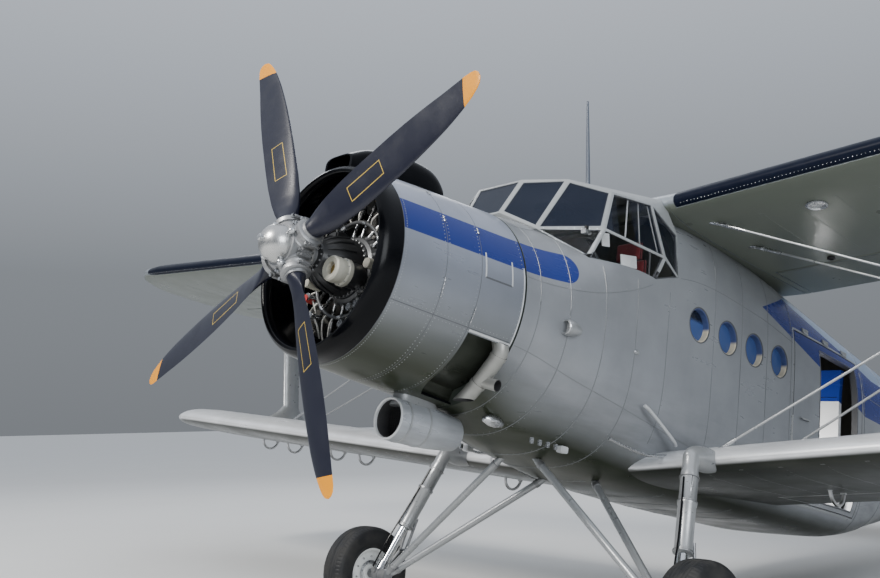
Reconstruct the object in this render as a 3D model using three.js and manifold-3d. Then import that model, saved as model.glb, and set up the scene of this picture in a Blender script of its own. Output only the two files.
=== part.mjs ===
// Single-engine cabin biplane, parked on its main wheels and tail wheel.
// Pieces are built in body axes, in mm: +X to port, +Y aft, +Z up and square to the thrust line,
// with the origin at the propeller hub. The last group tips them to the parked attitude.
import * as THREE from 'three';
import { mergeVertices } from 'three/addons/utils/BufferGeometryUtils.js';
import { ConvexGeometry } from 'three/addons/geometries/ConvexGeometry.js';
import Module from 'manifold-3d';

const wasm = await Module();
wasm.setup();

// Clearances
const seat = 0.3;
const running = 9;

// Main dimensions
const upperHalfSpan = 9090;
const lowerHalfSpan = 7120;
const upperChord = 2400;
const lowerChord = 2000;
const upperWing = { leading: 3000, height: 1214, dihedral: 4.0, incidence: 3 };
const lowerWing = { leading: 3030, height: -981, dihedral: 4.9, incidence: 1 };
const centreHalfWidth = 800;
const hingeFraction = 0.72;
const mainWheel = { x: 1700, y: 2446, z: -2009, radius: 400, width: 260, sides: 22 };
const tailWheel = { x: 0, y: 10636, z: -467, radius: 235, width: 170, sides: 16 };
const propellerRadius = 1800;
const propellerPhase = -26.5;
const wall = 60;
const door = { front: 5060, rear: 6520, sill: -880, head: 690 };
const passengerDoor = { front: 5590, rear: 6400, sill: -820, head: 600, open: 88 };
const windowCentre = 310;
const windowRadius = 145;

const radians = (degrees) => degrees * Math.PI / 180;

// Distance from a wheel's axle down to its flat, because the lathe has straight sides
const rollingRadius = (wheel) => wheel.radius * Math.cos(Math.PI / wheel.sides);

const axleGap = Math.hypot(tailWheel.y - mainWheel.y, tailWheel.z - mainWheel.z);
const parkAngle = Math.atan2(tailWheel.z - mainWheel.z, tailWheel.y - mainWheel.y)
  + Math.asin((rollingRadius(mainWheel) - rollingRadius(tailWheel)) / axleGap);

// Paints and metals: colour, roughness, metalness
const finishes = {
  silver: [0xaeb2b8, 0.35, 0.6],
  cowl: [0x9aa3b5, 0.3, 0.4],
  black: [0x0c0d10, 0.25, 0.2],
  blade: [0x23263a, 0.4, 0.2],
  steel: [0x8d9096, 0.4, 0.8],
  engine: [0x3a3a3b, 0.6, 0.5],
  gear: [0x9a988c, 0.5, 0.3],
  slat: [0x1b2340, 0.3, 0.2],
  rubber: [0x26272a, 0.85, 0],
  glass: [0x2b3a44, 0.1, 0],
  frame: [0xd2d2cc, 0.45, 0.2],
  seat: [0x6d2022, 0.8, 0],
  panel: [0x33363a, 0.6, 0],
  floor: [0x5c5f60, 0.7, 0.2],
  exhaust: [0x6b655c, 0.5, 0.7],
};

function finish(name) {
  const [color, roughness, metalness] = finishes[name];
  return new THREE.MeshStandardMaterial({ color, roughness, metalness });
}

function signedVolume(points, index) {
  const a = new THREE.Vector3();
  const b = new THREE.Vector3();
  const c = new THREE.Vector3();
  let sum = 0;
  for (let i = 0; i < index.length; i += 3) {
    a.fromArray(points, index[i] * 3);
    b.fromArray(points, index[i + 1] * 3);
    c.fromArray(points, index[i + 2] * 3);
    sum += a.dot(b.cross(c));
  }
  return sum;
}

// A closed geometry as a solid, with its shared points merged and its faces pointing out
function solidOf(geometry) {
  const bare = new THREE.BufferGeometry();
  bare.setAttribute('position', geometry.getAttribute('position'));
  if (geometry.index) bare.setIndex(geometry.index);
  const merged = mergeVertices(bare, 1e-3);
  const points = new Float32Array(merged.getAttribute('position').array);
  const source = merged.index.array;
  const kept = [];
  for (let i = 0; i < source.length; i += 3) {
    const [a, b, c] = [source[i], source[i + 1], source[i + 2]];
    if (a !== b && b !== c && c !== a) kept.push(a, b, c);
  }
  if (signedVolume(points, kept) < 0) kept.reverse();
  return new wasm.Manifold(new wasm.Mesh({
    numProp: 3,
    vertProperties: points,
    triVerts: new Uint32Array(kept),
  }));
}

function geometryOf(solid) {
  const mesh = solid.getMesh();
  const geometry = new THREE.BufferGeometry();
  geometry.setAttribute('position', new THREE.BufferAttribute(mesh.vertProperties, 3));
  geometry.setIndex(new THREE.BufferAttribute(mesh.triVerts, 1));
  geometry.computeVertexNormals();
  return geometry;
}

const joined = (solids) => solids.reduce((sum, solid) => sum.add(solid));
const placed = (solid, matrix) => solid.transform(matrix.elements);

function box(x0, x1, y0, y1, z0, z1) {
  const geometry = new THREE.BoxGeometry(x1 - x0, y1 - y0, z1 - z0);
  geometry.translate((x0 + x1) / 2, (y0 + y1) / 2, (z0 + z1) / 2);
  return solidOf(geometry);
}

// A round bar from one point to another
function bar(from, to, radius, sides = 12, farRadius = radius) {
  const start = new THREE.Vector3(...from);
  const run = new THREE.Vector3(...to).sub(start);
  const geometry = new THREE.CylinderGeometry(farRadius, radius, run.length(), sides);
  geometry.translate(0, run.length() / 2, 0);
  const turn = new THREE.Quaternion().setFromUnitVectors(new THREE.Vector3(0, 1, 0), run.normalize());
  geometry.applyQuaternion(turn);
  geometry.translate(start.x, start.y, start.z);
  return solidOf(geometry);
}

// A profile of [radius, height] turned about the Y axis; a ring's profile closes on itself
function turnedAboutY(profile, sides) {
  return solidOf(new THREE.LatheGeometry(profile.map(([r, y]) => new THREE.Vector2(r, y)), sides));
}

// The same about the X axis, with a flat side facing down when the aircraft is parked
function turnedAboutX(profile, sides) {
  const geometry = new THREE.LatheGeometry(profile.map(([r, y]) => new THREE.Vector2(r, y)), sides);
  geometry.rotateZ(-Math.PI / 2);
  geometry.rotateX(Math.PI / sides - parkAngle);
  return solidOf(geometry);
}

// Rings of equal count joined into a skin, with a fan over each end
function loft(rings) {
  const count = rings[0].length;
  const points = rings.flat();
  const index = [];
  for (let r = 0; r + 1 < rings.length; r += 1) {
    for (let i = 0; i < count; i += 1) {
      const a = r * count + i;
      const b = r * count + (i + 1) % count;
      index.push(a, b, a + count, b, b + count, a + count);
    }
  }
  [0, rings.length - 1].forEach((r) => {
    const centre = new THREE.Vector3();
    rings[r].forEach((point) => centre.add(point));
    points.push(centre.divideScalar(count));
    for (let i = 0; i < count; i += 1) {
      const edge = [r * count + i, r * count + (i + 1) % count];
      if (r === 0) edge.reverse();
      index.push(points.length - 1, ...edge);
    }
  });
  const geometry = new THREE.BufferGeometry().setFromPoints(points);
  geometry.setIndex(index);
  return solidOf(geometry);
}

// Assembly: every mesh hangs in this group, in body axes
const airframe = new THREE.Group();

function addPiece(name, solid, finishName, pivot = [0, 0, 0], axis = null) {
  const geometry = geometryOf(solid.translate(pivot.map((value) => -value)));
  const mesh = new THREE.Mesh(geometry, finish(finishName));
  mesh.name = name;
  mesh.position.set(...pivot);
  if (axis) mesh.userData.axis = axis;
  airframe.add(mesh);
  return mesh;
}

// A piece on each side, made once for port
function addPair(name, solid, finishName, pivot = [0, 0, 0], axis = null) {
  addPiece(`${name}_port`, solid, finishName, pivot, axis);
  const farPivot = [-pivot[0], pivot[1], pivot[2]];
  const farAxis = axis && [axis[0], -axis[1], -axis[2]];
  addPiece(`${name}_starboard`, solid.mirror([1, 0, 0]), finishName, farPivot, farAxis);
}

// Fuselage sections
// columns: station, half width, top, bottom, height of the widest line, squareness above, below
const fuselageStations = [
  [1475, 770, 770, -770, 0, 2.0, 2.0],
  [2080, 852, 896, -945, 0, 2.15, 2.3],
  [2600, 882, 1060, -1015, 0, 3.0, 2.7],
  [3150, 890, 1235, -1075, 0, 4.6, 3.2],
  [4300, 890, 1240, -1100, 0, 4.8, 4.6],
  [5300, 890, 1170, -1100, 0, 3.8, 5.0],
  [6500, 872, 1060, -1085, 0, 3.1, 4.6],
  [7600, 778, 985, -900, 40, 2.8, 2.9],
  [9000, 585, 880, -560, 140, 2.5, 2.5],
  [10400, 360, 765, -190, 270, 2.3, 2.2],
  [11380, 150, 690, 40, 360, 2.1, 2.1],
];
const ringPoints = 28;
const noseStation = fuselageStations[0][0];
const sternStation = fuselageStations[fuselageStations.length - 1][0];
const boomStation = 7200;

const stationCurve = new THREE.CubicInterpolant(
  new Float64Array(fuselageStations.map((row) => row[0])),
  new Float64Array(fuselageStations.flatMap((row) => row.slice(1))),
  6,
  new Float64Array(6),
);

function fuselageRing(station, inset = 0) {
  const [halfWidth, top, bottom, middle, above, below] = stationCurve.evaluate(station);
  return Array.from({ length: ringPoints }, (_, i) => {
    const angle = 2 * Math.PI * i / ringPoints;
    const side = Math.cos(angle);
    const rise = Math.sin(angle);
    const power = 2 / (rise >= 0 ? above : below);
    const height = (rise >= 0 ? top - middle : middle - bottom) - inset;
    return new THREE.Vector3(
      (halfWidth - inset) * Math.sign(side) * Math.abs(side) ** power,
      station,
      middle + height * Math.sign(rise) * Math.abs(rise) ** power,
    );
  });
}

// Ring stations, evenly spread from one station to the next
const spread = (start, end, steps) => Array.from(
  { length: steps + 1 },
  (_, i) => start + (end - start) * i / steps,
);
const fuselageLoft = (stations, inset = 0) => loft(stations.map((y) => fuselageRing(y, inset)));

const cabin = { front: 2230, rear: 7120, floor: -930, ceiling: 960 };
const cockpit = { rear: 3150, floor: -330 };
const shellRings = spread(noseStation, boomStation, 11);
const boomRings = spread(boomStation + seat, sternStation, 7);
const hollowRings = spread(cabin.front, cabin.rear, 7);
const skinRings = [
  noseStation - seat,
  ...shellRings.slice(1),
  ...boomRings.slice(0, -1),
  sternStation + seat,
];
const bothSides = (solid) => solid.add(solid.mirror([1, 0, 0]));
const fuselageSkin = bothSides(fuselageLoft(skinRings, -2 * seat));
const cabinHollow = fuselageLoft(hollowRings, wall)
  .intersect(box(-1000, 1000, cabin.front - 1, cabin.rear + 1, cabin.floor, cabin.ceiling + 400));

// Canopy: a faceted hood, wider than the fuselage at its side rail
// columns: corner, x, y, z on the port side
const canopyCorners = {
  screenTopInner: [235, 1845, 1135],
  screenTopOuter: [540, 2045, 1155],
  screenBaseInner: [205, 1670, 800],
  screenBaseOuter: [508, 1775, 660],
  quarterTop: [760, 2325, 1110],
  quarterBase: [820, 2195, 745],
  railRear: [950, 2830, 690],
  sillFront: [740, 2140, 510],
  sillMiddle: [868, 2830, 515],
  sillRear: [880, 3120, 620],
  eaveMiddle: [800, 2800, 1165],
  eaveRear: [840, 3120, 1000],
  roofRearInner: [250, 3040, 1430],
  roofRearOuter: [740, 3040, 1290],
};
const canopyCentre = new THREE.Vector3(0, 2500, 760);
const canopyFrameDepth = 34;
const canopyGlassDepth = 8;

function canopyHull(inset) {
  const corners = [];
  Object.values(canopyCorners).forEach(([x, y, z]) => {
    [x, -x].forEach((side) => {
      const corner = new THREE.Vector3(side, y, z);
      const inward = new THREE.Vector3().subVectors(canopyCentre, corner);
      inward.setLength(inset * 1.3);
      corners.push(corner.add(inward));
    });
  });
  return solidOf(new ConvexGeometry(corners));
}

// columns: the pane's corners in order, border of the frame round it
const canopyPanes = [
  [['screenTopInner', 'screenBaseInner', 'screenBaseOuter', 'screenTopOuter'], 30],
  [['screenTopOuter', 'screenBaseOuter', 'quarterBase', 'quarterTop'], 32],
  [['quarterTop', 'quarterBase', 'railRear', 'eaveMiddle'], 34],
  [['railRear', 'eaveMiddle', 'eaveRear', 'sillRear'], 34],
  [['screenBaseOuter', 'quarterBase', 'sillFront'], 28],
  [['quarterBase', 'railRear', 'sillMiddle', 'sillFront'], 30],
  [['railRear', 'sillMiddle', 'sillRear'], 26],
];

// A prism through one pane, its outline drawn in from the corners by the border
function paneCutter(corners, border) {
  const centre = new THREE.Vector3();
  corners.forEach((corner) => centre.add(corner));
  centre.divideScalar(corners.length);
  const normal = new THREE.Vector3()
    .subVectors(corners[1], corners[0])
    .cross(new THREE.Vector3().subVectors(corners[2], corners[0]))
    .setLength(90);
  const points = corners.flatMap((corner) => {
    const drawn = new THREE.Vector3().subVectors(centre, corner);
    drawn.setLength(border * 1.5).add(corner);
    return [drawn.clone().add(normal), drawn.clone().sub(normal)];
  });
  return solidOf(new ConvexGeometry(points));
}

const cornerAt = (name, side) => {
  const [x, y, z] = canopyCorners[name];
  return new THREE.Vector3(x * side, y, z);
};
const paneCutters = [1, -1].flatMap((side) => canopyPanes.map(
  ([names, border]) => paneCutter(names.map((name) => cornerAt(name, side)), border),
));
paneCutters.push(paneCutter([
  cornerAt('screenTopInner', 1),
  cornerAt('screenBaseInner', 1),
  cornerAt('screenBaseInner', -1),
  cornerAt('screenTopInner', -1),
], 26));

// Wing sections
const sectionSteps = 8;

// Half thickness and camber line of the wing section, at a fraction of the chord
const thicknessAt = (f, ratio) => 5 * ratio
  * (0.2969 * Math.sqrt(f) - 0.126 * f - 0.3516 * f ** 2 + 0.2843 * f ** 3 - 0.1036 * f ** 4);
const camberPeak = 0.4;
const camberAt = (f, camber) => (f < camberPeak
  ? camber / camberPeak ** 2 * (2 * camberPeak * f - f ** 2)
  : camber / (1 - camberPeak) ** 2 * (1 - 2 * camberPeak + 2 * camberPeak * f - f ** 2));

// One rib: span station, leading edge, trailing edge, thickness ratio, camber; grow adds clearance
function ribRing([span, leading, trailing, ratio, camber], grow) {
  const chord = trailing - leading;
  const upper = [];
  const lower = [];
  for (let i = 0; i <= sectionSteps; i += 1) {
    const f = (1 - Math.cos(Math.PI * i / sectionSteps)) / 2;
    const half = thicknessAt(f, ratio) * chord + 3 * f + grow;
    const line = camberAt(f, camber) * chord;
    const y = leading + f * chord + (2 * f - 1) * grow;
    upper.push(new THREE.Vector3(span, y, line + half));
    if (i > 0 || grow > 0) lower.push(new THREE.Vector3(span, y, line - half));
  }
  return [...upper.reverse(), ...lower];
}

const liftingSurface = (ribs, grow = 0) => loft(ribs.map((rib) => ribRing(rib, grow)));

const pinRadius = 14;
const lug = { halfWidth: 7, height: 20, slot: 15, depth: 34 };

// One hinge lug on the fixed surface, its pin, and the slot for it in the moving one
function hingeLug(x, y, z, reach) {
  const { halfWidth, height } = lug;
  const arm = box(x - halfWidth, x + halfWidth, y - reach - 30, y, z - height, z + height)
    .add(bar([x - halfWidth, y, z], [x + halfWidth, y, z], height + 4, 14));
  const pin = bar([x - lug.slot + seat, y, z], [x + lug.slot - seat, y, z], pinRadius, 10);
  const slot = box(x - lug.slot, x + lug.slot, y - reach - 30, y + lug.depth, -400, 400);
  return { arm: arm.add(pin), slot };
}

// Cuts a flap, aileron, elevator or rudder from a surface along a hinge line
// hinge: chord position, height, first and last span station, half thickness there, nose radius,
// swing in degrees, span stations of its lugs; with no lugs it turns on a pin at each end
function splitAtHinge(surface, { y, z, from, to, half, nose, swing, lugs = [] }) {
  const far = 4000;
  const behind = y + far;
  const halfSwing = radians(swing) / 2;
  const pocketRadius = half / Math.cos(halfSwing) + running + 2;
  const cutBack = half * Math.tan(halfSwing) + running;
  const pocket = box(from, to, y - cutBack, behind, -far, far)
    .add(bar([from, y, z], [to, y, z], pocketRadius / Math.cos(Math.PI / 24), 24));
  const movingBody = surface.intersect(box(from + running, to - running, y, behind, -far, far));
  const noseBar = bar([from + running, y, z], [to - running, y, z], nose, 20);
  let fixed = surface.subtract(pocket);
  let moving = movingBody.add(noseBar.intersect(surface));
  lugs.forEach((x) => {
    const { arm, slot } = hingeLug(x, y, z, pocketRadius);
    fixed = fixed.add(arm);
    moving = moving.subtract(slot);
  });
  if (lugs.length === 0) {
    const gap = running - seat;
    fixed = fixed
      .add(bar([from - 1, y, z], [from + gap, y, z], pinRadius, 10))
      .add(bar([to - gap, y, z], [to + 1, y, z], pinRadius, 10));
  }
  return { fixed, moving };
}

// Hinge data of a wing panel of constant chord
function panelHinge(chord, ratio, camber, from, to, swing) {
  const half = thicknessAt(hingeFraction, ratio) * chord;
  return {
    y: hingeFraction * chord,
    z: camberAt(hingeFraction, camber) * chord,
    from,
    to,
    half,
    nose: half - 3,
    swing,
  };
}

function wingFrame({ leading, height, dihedral, incidence }) {
  return new THREE.Matrix4().makeTranslation(0, leading, height)
    .multiply(new THREE.Matrix4().makeRotationY(-radians(dihedral)))
    .multiply(new THREE.Matrix4().makeRotationX(-radians(incidence)));
}

const wingRatio = 0.14;
const wingCamber = 0.03;

// columns: span station, leading edge, trailing edge
const upperOutline = [
  [centreHalfWidth + seat, 0, upperChord],
  [upperHalfSpan - 900, 0, upperChord],
  [upperHalfSpan - 500, 45, upperChord - 30],
  [upperHalfSpan - 240, 160, upperChord - 110],
  [upperHalfSpan - 70, 370, upperChord - 260],
  [upperHalfSpan, 680, upperChord - 520],
];
const lowerOutline = [
  [600, 0, lowerChord],
  [lowerHalfSpan - 750, 0, lowerChord],
  [lowerHalfSpan - 420, 40, lowerChord - 30],
  [lowerHalfSpan - 200, 140, lowerChord - 100],
  [lowerHalfSpan - 60, 310, lowerChord - 230],
  [lowerHalfSpan, 570, lowerChord - 440],
];
const wingRibs = (outline) => outline.map((row) => [...row, wingRatio, wingCamber]);

// Upper wing
const upperFrame = wingFrame(upperWing);
const upperWhole = liftingSurface(wingRibs(upperOutline));
const upperFlapHinge = panelHinge(upperChord, wingRatio, wingCamber, 860, 5180, 40);
const aileronHinge = panelHinge(upperChord, wingRatio, wingCamber, 5200, 8240, 30);
const upperFlapSplit = splitAtHinge(upperWhole, upperFlapHinge);
const aileronSplit = splitAtHinge(upperFlapSplit.fixed, aileronHinge);

// Slat: the section's nose, with a rounded nose of the fixed wing left behind it
const slatDepth = 0.155 * upperChord;
const slatEnd = upperHalfSpan - 620;
const slatStart = centreHalfWidth + 60;
const slatLip = { y: 56, z: -16 };
const slatZone = box(slatStart, slatEnd, -50, slatDepth, -400, 400)
  .subtract(box(slatStart - 1, slatEnd + 1, slatLip.y, slatDepth + 1, -400, slatLip.z));
const fixedNose = upperWhole.translate([0, 46, -14]);
const upperClear = liftingSurface(wingRibs(upperOutline), seat);
const noseClear = upperWhole.translate([0, 34, -4]).add(upperClear.translate([0, 46, -14]));
// Rails behind the slat, each sliding in a slot of the fixed wing
const slatRails = [1700, 4500, 7300];
const railBox = (x, gap) => box(x - 8 - gap, x + 8 + gap, 12, 262 + gap, -24 - gap, 4 + gap);
const slatBody = upperWhole
  .intersect(box(slatStart + 6, slatEnd - 6, -50, slatDepth - 6, -400, 400))
  .subtract(box(slatStart, slatEnd, slatLip.y - 8, slatDepth, -400, slatLip.z + 8))
  .subtract(noseClear);
const slatSolid = joined([slatBody, ...slatRails.map((x) => railBox(x, 0))]);
const upperPanel = aileronSplit.fixed
  .subtract(slatZone.subtract(fixedNose))
  .subtract(joined(slatRails.map((x) => railBox(x, seat))));

// Centre section, level across the cabin roof
const centreHeight = upperWing.height + centreHalfWidth * Math.tan(radians(upperWing.dihedral));
const centreFrame = wingFrame({ ...upperWing, height: centreHeight, dihedral: 0 });
const centreSlab = (grow) => placed(liftingSurface(wingRibs([
  [-centreHalfWidth - grow, 0, upperChord],
  [centreHalfWidth + grow, 0, upperChord],
]), grow), centreFrame);
const centreSection = centreSlab(0);
const centreClear = centreSlab(seat);

// Lower wing
const lowerFrame = wingFrame(lowerWing);
const lowerWhole = liftingSurface(wingRibs(lowerOutline));
const lowerFlapHinge = panelHinge(lowerChord, wingRatio, wingCamber, 1120, 6330, 40);
const lowerSplit = splitAtHinge(lowerWhole, lowerFlapHinge);
// Hoops of the flap brackets, under the wing ahead of the hinge line
const hoopStations = [1720, 4150, 4730, 5670, 6250];
const hoop = { middle: 1215, reach: 116, top: -20, root: -45, halfWidth: 7, halfDepth: 9 };
function hoopAt(x) {
  const ringAt = (angle, z) => [[-1, -1], [1, -1], [1, 1], [-1, 1]].map(([across, out]) => {
    const radius = hoop.reach + out * hoop.halfDepth;
    return new THREE.Vector3(
      x + across * hoop.halfWidth,
      hoop.middle + radius * Math.cos(angle),
      z - radius * Math.sin(angle),
    );
  });
  return loft([
    ringAt(0, hoop.top),
    ...spread(0, Math.PI, 6).map((angle) => ringAt(angle, hoop.root)),
    ringAt(Math.PI, hoop.top),
  ]);
}
const lowerFixed = joined([lowerSplit.fixed, ...hoopStations.map(hoopAt)]);
const lowerPanel = placed(lowerFixed, lowerFrame).subtract(fuselageSkin);

// Fuselage shell
const canopyOuter = canopyHull(0);
const canopyClear = canopyHull(-seat);
const canopyInner = canopyHull(canopyFrameDepth);
const glassOuter = canopyHull(canopyFrameDepth + seat);
const glassInner = canopyHull(canopyFrameDepth + canopyGlassDepth);

function roundWindow(side, station) {
  return bar([side * 700, station, windowCentre], [side * 1000, station, windowCentre], windowRadius, 16);
}

const portWindows = [3460, 3900, 4340, 4780];
const starboardWindows = [3460, 3900, 4340, 4780, 5220, 5660];
const windowCutters = [
  ...portWindows.map((station) => roundWindow(1, station)),
  ...starboardWindows.map((station) => roundWindow(-1, station)),
];
const wallBlock = fuselageLoft(shellRings);
const shellWall = wallBlock.subtract(cabinHollow);
const doorZone = box(500, 1000, door.front, door.rear, door.sill, door.head);
const roofZone = joined([0, 160, 300].map((rise) => centreClear.translate([0, 0, rise])));
const freightHinges = [door.front + 250, door.rear - 250].map((station) => shellWall.intersect(box(
  500,
  1000,
  station - 60,
  station + 60,
  door.head - running + seat,
  door.head + 10,
)));
const fuselage = joined([shellWall.subtract(doorZone), ...freightHinges])
  .subtract(joined(windowCutters))
  .subtract(canopyClear)
  .subtract(roofZone);
addPiece('fuselage', fuselage, 'silver');

// The tail wheel's castor axis is upright when parked; it turns under a boss of the tail boom
const upright = [0, -Math.sin(parkAngle), Math.cos(parkAngle)];
const castorTrail = 190;
const forkHeight = 262;
const forkCrown = [0, tailWheel.y - castorTrail, tailWheel.z + forkHeight];
const along = (point, distance) => point.map((value, i) => value + upright[i] * distance);
const castorBoss = bar(forkCrown, along(forkCrown, 90), 60, 16);
addPiece('tail_boom', fuselageLoft(boomRings).add(castorBoss), 'silver');

// Canopy frame and glass
const canopyShell = (outer, inner) => outer.subtract(inner.add(inner.translate([0, 0, -200])))
  .subtract(fuselageSkin)
  .subtract(centreClear);
addPiece('canopy_frame', canopyShell(canopyOuter, canopyInner).subtract(joined(paneCutters)), 'frame');
addPiece('canopy_glass', canopyShell(glassOuter, glassInner), 'glass');

// Doors
const doorPanel = shellWall.intersect(box(
  500,
  1000,
  door.front + running,
  door.rear - running,
  door.sill + running,
  door.head - running,
));
const doorway = box(
  500,
  1000,
  passengerDoor.front,
  passengerDoor.rear,
  passengerDoor.sill,
  passengerDoor.head,
);
const doorPivot = [742, passengerDoor.rear - running, 0];
// Knuckles of the passenger door: the lower half of each on the leaf, the upper half on the jamb
const knuckleHeights = [-560, 360];
const knuckle = (low, high) => bar(
  [doorPivot[0], doorPivot[1], low],
  [doorPivot[0], doorPivot[1], high],
  pinRadius,
  12,
);
const jambKnuckles = knuckleHeights.map((height) => knuckle(height + seat, height + 60).add(box(
  doorPivot[0],
  850,
  doorPivot[1] + 7,
  doorPivot[1] + 40,
  height + seat,
  height + 60,
)));
const leafKnuckles = knuckleHeights.map((height) => knuckle(height - 60, height).add(box(
  doorPivot[0],
  850,
  doorPivot[1] - 30,
  doorPivot[1] - 2,
  height - 60,
  height,
)));
addPiece('freight_door', joined([doorPanel.subtract(doorway), ...jambKnuckles]), 'silver');
const doorLeaf = shellWall.intersect(box(
  500,
  1000,
  passengerDoor.front + running,
  passengerDoor.rear - running,
  passengerDoor.sill + running,
  passengerDoor.head - running,
));
const leafSolid = joined([doorLeaf, ...leafKnuckles]);
const leafMesh = addPiece('passenger_door', leafSolid, 'silver', doorPivot, [0, 0, 1]);
leafMesh.rotation.z = -radians(passengerDoor.open);

// Cabin and cockpit floor, panel and seats
const floorThickness = 30;
const hollowClear = fuselageLoft(hollowRings, wall + seat);
addPiece('cabin_floor', hollowClear.intersect(box(
  -1000,
  1000,
  cockpit.rear + seat,
  cabin.rear - seat,
  cabin.floor + seat,
  cabin.floor + floorThickness,
)), 'floor');
addPiece('cockpit_floor', hollowClear.intersect(box(
  -1000,
  1000,
  cabin.front + seat,
  cockpit.rear,
  cockpit.floor - floorThickness,
  cockpit.floor,
).add(box(
  -1000,
  1000,
  cockpit.rear - floorThickness,
  cockpit.rear,
  cabin.floor + seat,
  cockpit.floor,
))), 'floor');

const instrumentPanel = hollowClear.intersect(box(-900, 900, 2300, 2340, cockpit.floor + seat, 760));
addPiece('instrument_panel', instrumentPanel.subtract(canopyClear), 'panel');

const seatShape = joined([
  box(230, 640, 2700, 3060, cockpit.floor + seat, 120),
  box(250, 620, 2990, 3090, 60, 800),
  box(300, 570, 3000, 3080, 780, 960),
]);
addPair('seat', seatShape, 'seat');

// Engine: ring cowling, radial cylinders, gear case
// columns: radius, station, round the cowling's wall
const cowlProfile = [
  [642, 205],
  [668, 228],
  [686, 275],
  [700, 420],
  [722, 720],
  [746, 1100],
  [768, 1460],
  [752, 1460],
  [722, 1100],
  [698, 720],
  [674, 420],
  [640, 320],
  [612, 262],
  [620, 215],
  [642, 205],
];
const cowlSides = 32;
const cowlRing = turnedAboutY(cowlProfile, cowlSides);
// Sunk bay round the exhaust: angles from straight up towards port, in degrees
const bay = { front: 1065, from: 118, to: 168, floor: 668, wall: 35 };
const cowlRear = 1460;
function bayWedge(front, rear, widen) {
  const rim = [bay.from - widen, bay.to + widen].map((angle) => [
    1000 * Math.sin(radians(angle)),
    1000 * Math.cos(radians(angle)),
  ]);
  return solidOf(new ConvexGeometry([front, rear].flatMap((y) => [[0, 0], ...rim].map(
    ([x, z]) => new THREE.Vector3(x, y, z),
  ))));
}
const cowlBody = turnedAboutY([[0, 200], ...cowlProfile.slice(0, 7), [0, cowlRear]], cowlSides);
const bayCore = (radius) => bar([0, bay.front - 100, 0], [0, cowlRear + 100, 0], radius, 48);
const bayTray = cowlBody
  .intersect(bayWedge(bay.front - bay.wall, cowlRear, 4))
  .subtract(bayCore(bay.floor - 18));
const bayOpening = bayWedge(bay.front, cowlRear + 40, 0).subtract(bayCore(bay.floor));
const cowling = cowlRing.add(bayTray).subtract(bayOpening);
addPiece('engine_cowling', cowling, 'cowl');

const cylinderCount = 9;
const cylinderStation = 700;
// columns: radius, distance from the thrust line
const cylinderProfile = [
  [0, 200],
  [82, 200],
  [82, 300],
  [98, 306],
  [98, 465],
  [114, 480],
  [114, 590],
  [84, 640],
  [0, 640],
];
const crankcase = turnedAboutY([
  [0, 450],
  [215, 450],
  [262, 540],
  [262, 900],
  [300, 960],
  [300, 1120],
  [230, 1180],
  [230, noseStation - seat],
  [0, noseStation - seat],
], 20);
const engineParts = [crankcase];
for (let i = 0; i < cylinderCount; i += 1) {
  const turn = new THREE.Matrix4().makeRotationY(2 * Math.PI * i / cylinderCount);
  const barrel = new THREE.LatheGeometry(cylinderProfile.map(([r, y]) => new THREE.Vector2(r, y)), 8);
  barrel.rotateX(Math.PI / 2);
  barrel.translate(0, cylinderStation, 0);
  const rockers = [-70, 70].map((side) => bar(
    [side, cylinderStation - 70, 590],
    [side, cylinderStation + 60, 660],
    40,
    6,
  ));
  const pad = box(-25, 25, cylinderStation - 30, cylinderStation + 30, 600, 720);
  engineParts.push(placed(joined([solidOf(barrel), ...rockers, pad]), turn));
}
const cowlClear = cowlRing.add(cowlRing.scale([0.9995, 1, 0.9995]));
const outside = turnedAboutY([[690, 600], [900, 600], [900, 850], [690, 850], [690, 600]], cowlSides);
addPiece('engine', joined(engineParts).subtract(cowlClear).subtract(outside), 'engine');
const governor = { x: 225, z: -100, front: 165, rear: 440, radius: 88 };
const governorDrum = bar(
  [governor.x, governor.front, governor.z],
  [governor.x, governor.rear, governor.z],
  governor.radius,
  14,
);
const gearCase = turnedAboutY([
  [0, 160],
  [118, 160],
  [130, 200],
  [176, 290],
  [200, 380],
  [205, 450 - seat],
  [0, 450 - seat],
], 20);
addPiece('gear_case', gearCase.add(governorDrum), 'gear');

// Air scoop on the cowling, oil cooler below it, exhaust pipe
// columns: station, half width, top, bottom
const scoopRows = [
  [250, 150, 770, 620],
  [420, 168, 860, 620],
  [700, 172, 925, 620],
  [980, 165, 925, 620],
  [1140, 120, 850, 640],
  [1190, 60, 790, 660],
];
const scoopRing = ([station, halfWidth, top, bottom]) => Array.from({ length: 20 }, (_, i) => {
  const angle = 2 * Math.PI * i / 20;
  const side = Math.cos(angle);
  const rise = Math.sin(angle);
  return new THREE.Vector3(
    halfWidth * Math.sign(side) * Math.abs(side) ** 0.55,
    station,
    (top + bottom) / 2 + (top - bottom) / 2 * Math.sign(rise) * Math.abs(rise) ** 0.55,
  );
});
const cowlBodyClear = cowlBody.scale([1.0005, 1, 1.0005]);
const scoopMouth = box(-118, 118, 200, 330, 700, 830);
addPiece('air_scoop', loft(scoopRows.map(scoopRing)).subtract(cowlBodyClear).subtract(scoopMouth)
  .subtract(box(-400, 400, 200, 1300, -200, 640)), 'black');

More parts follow.
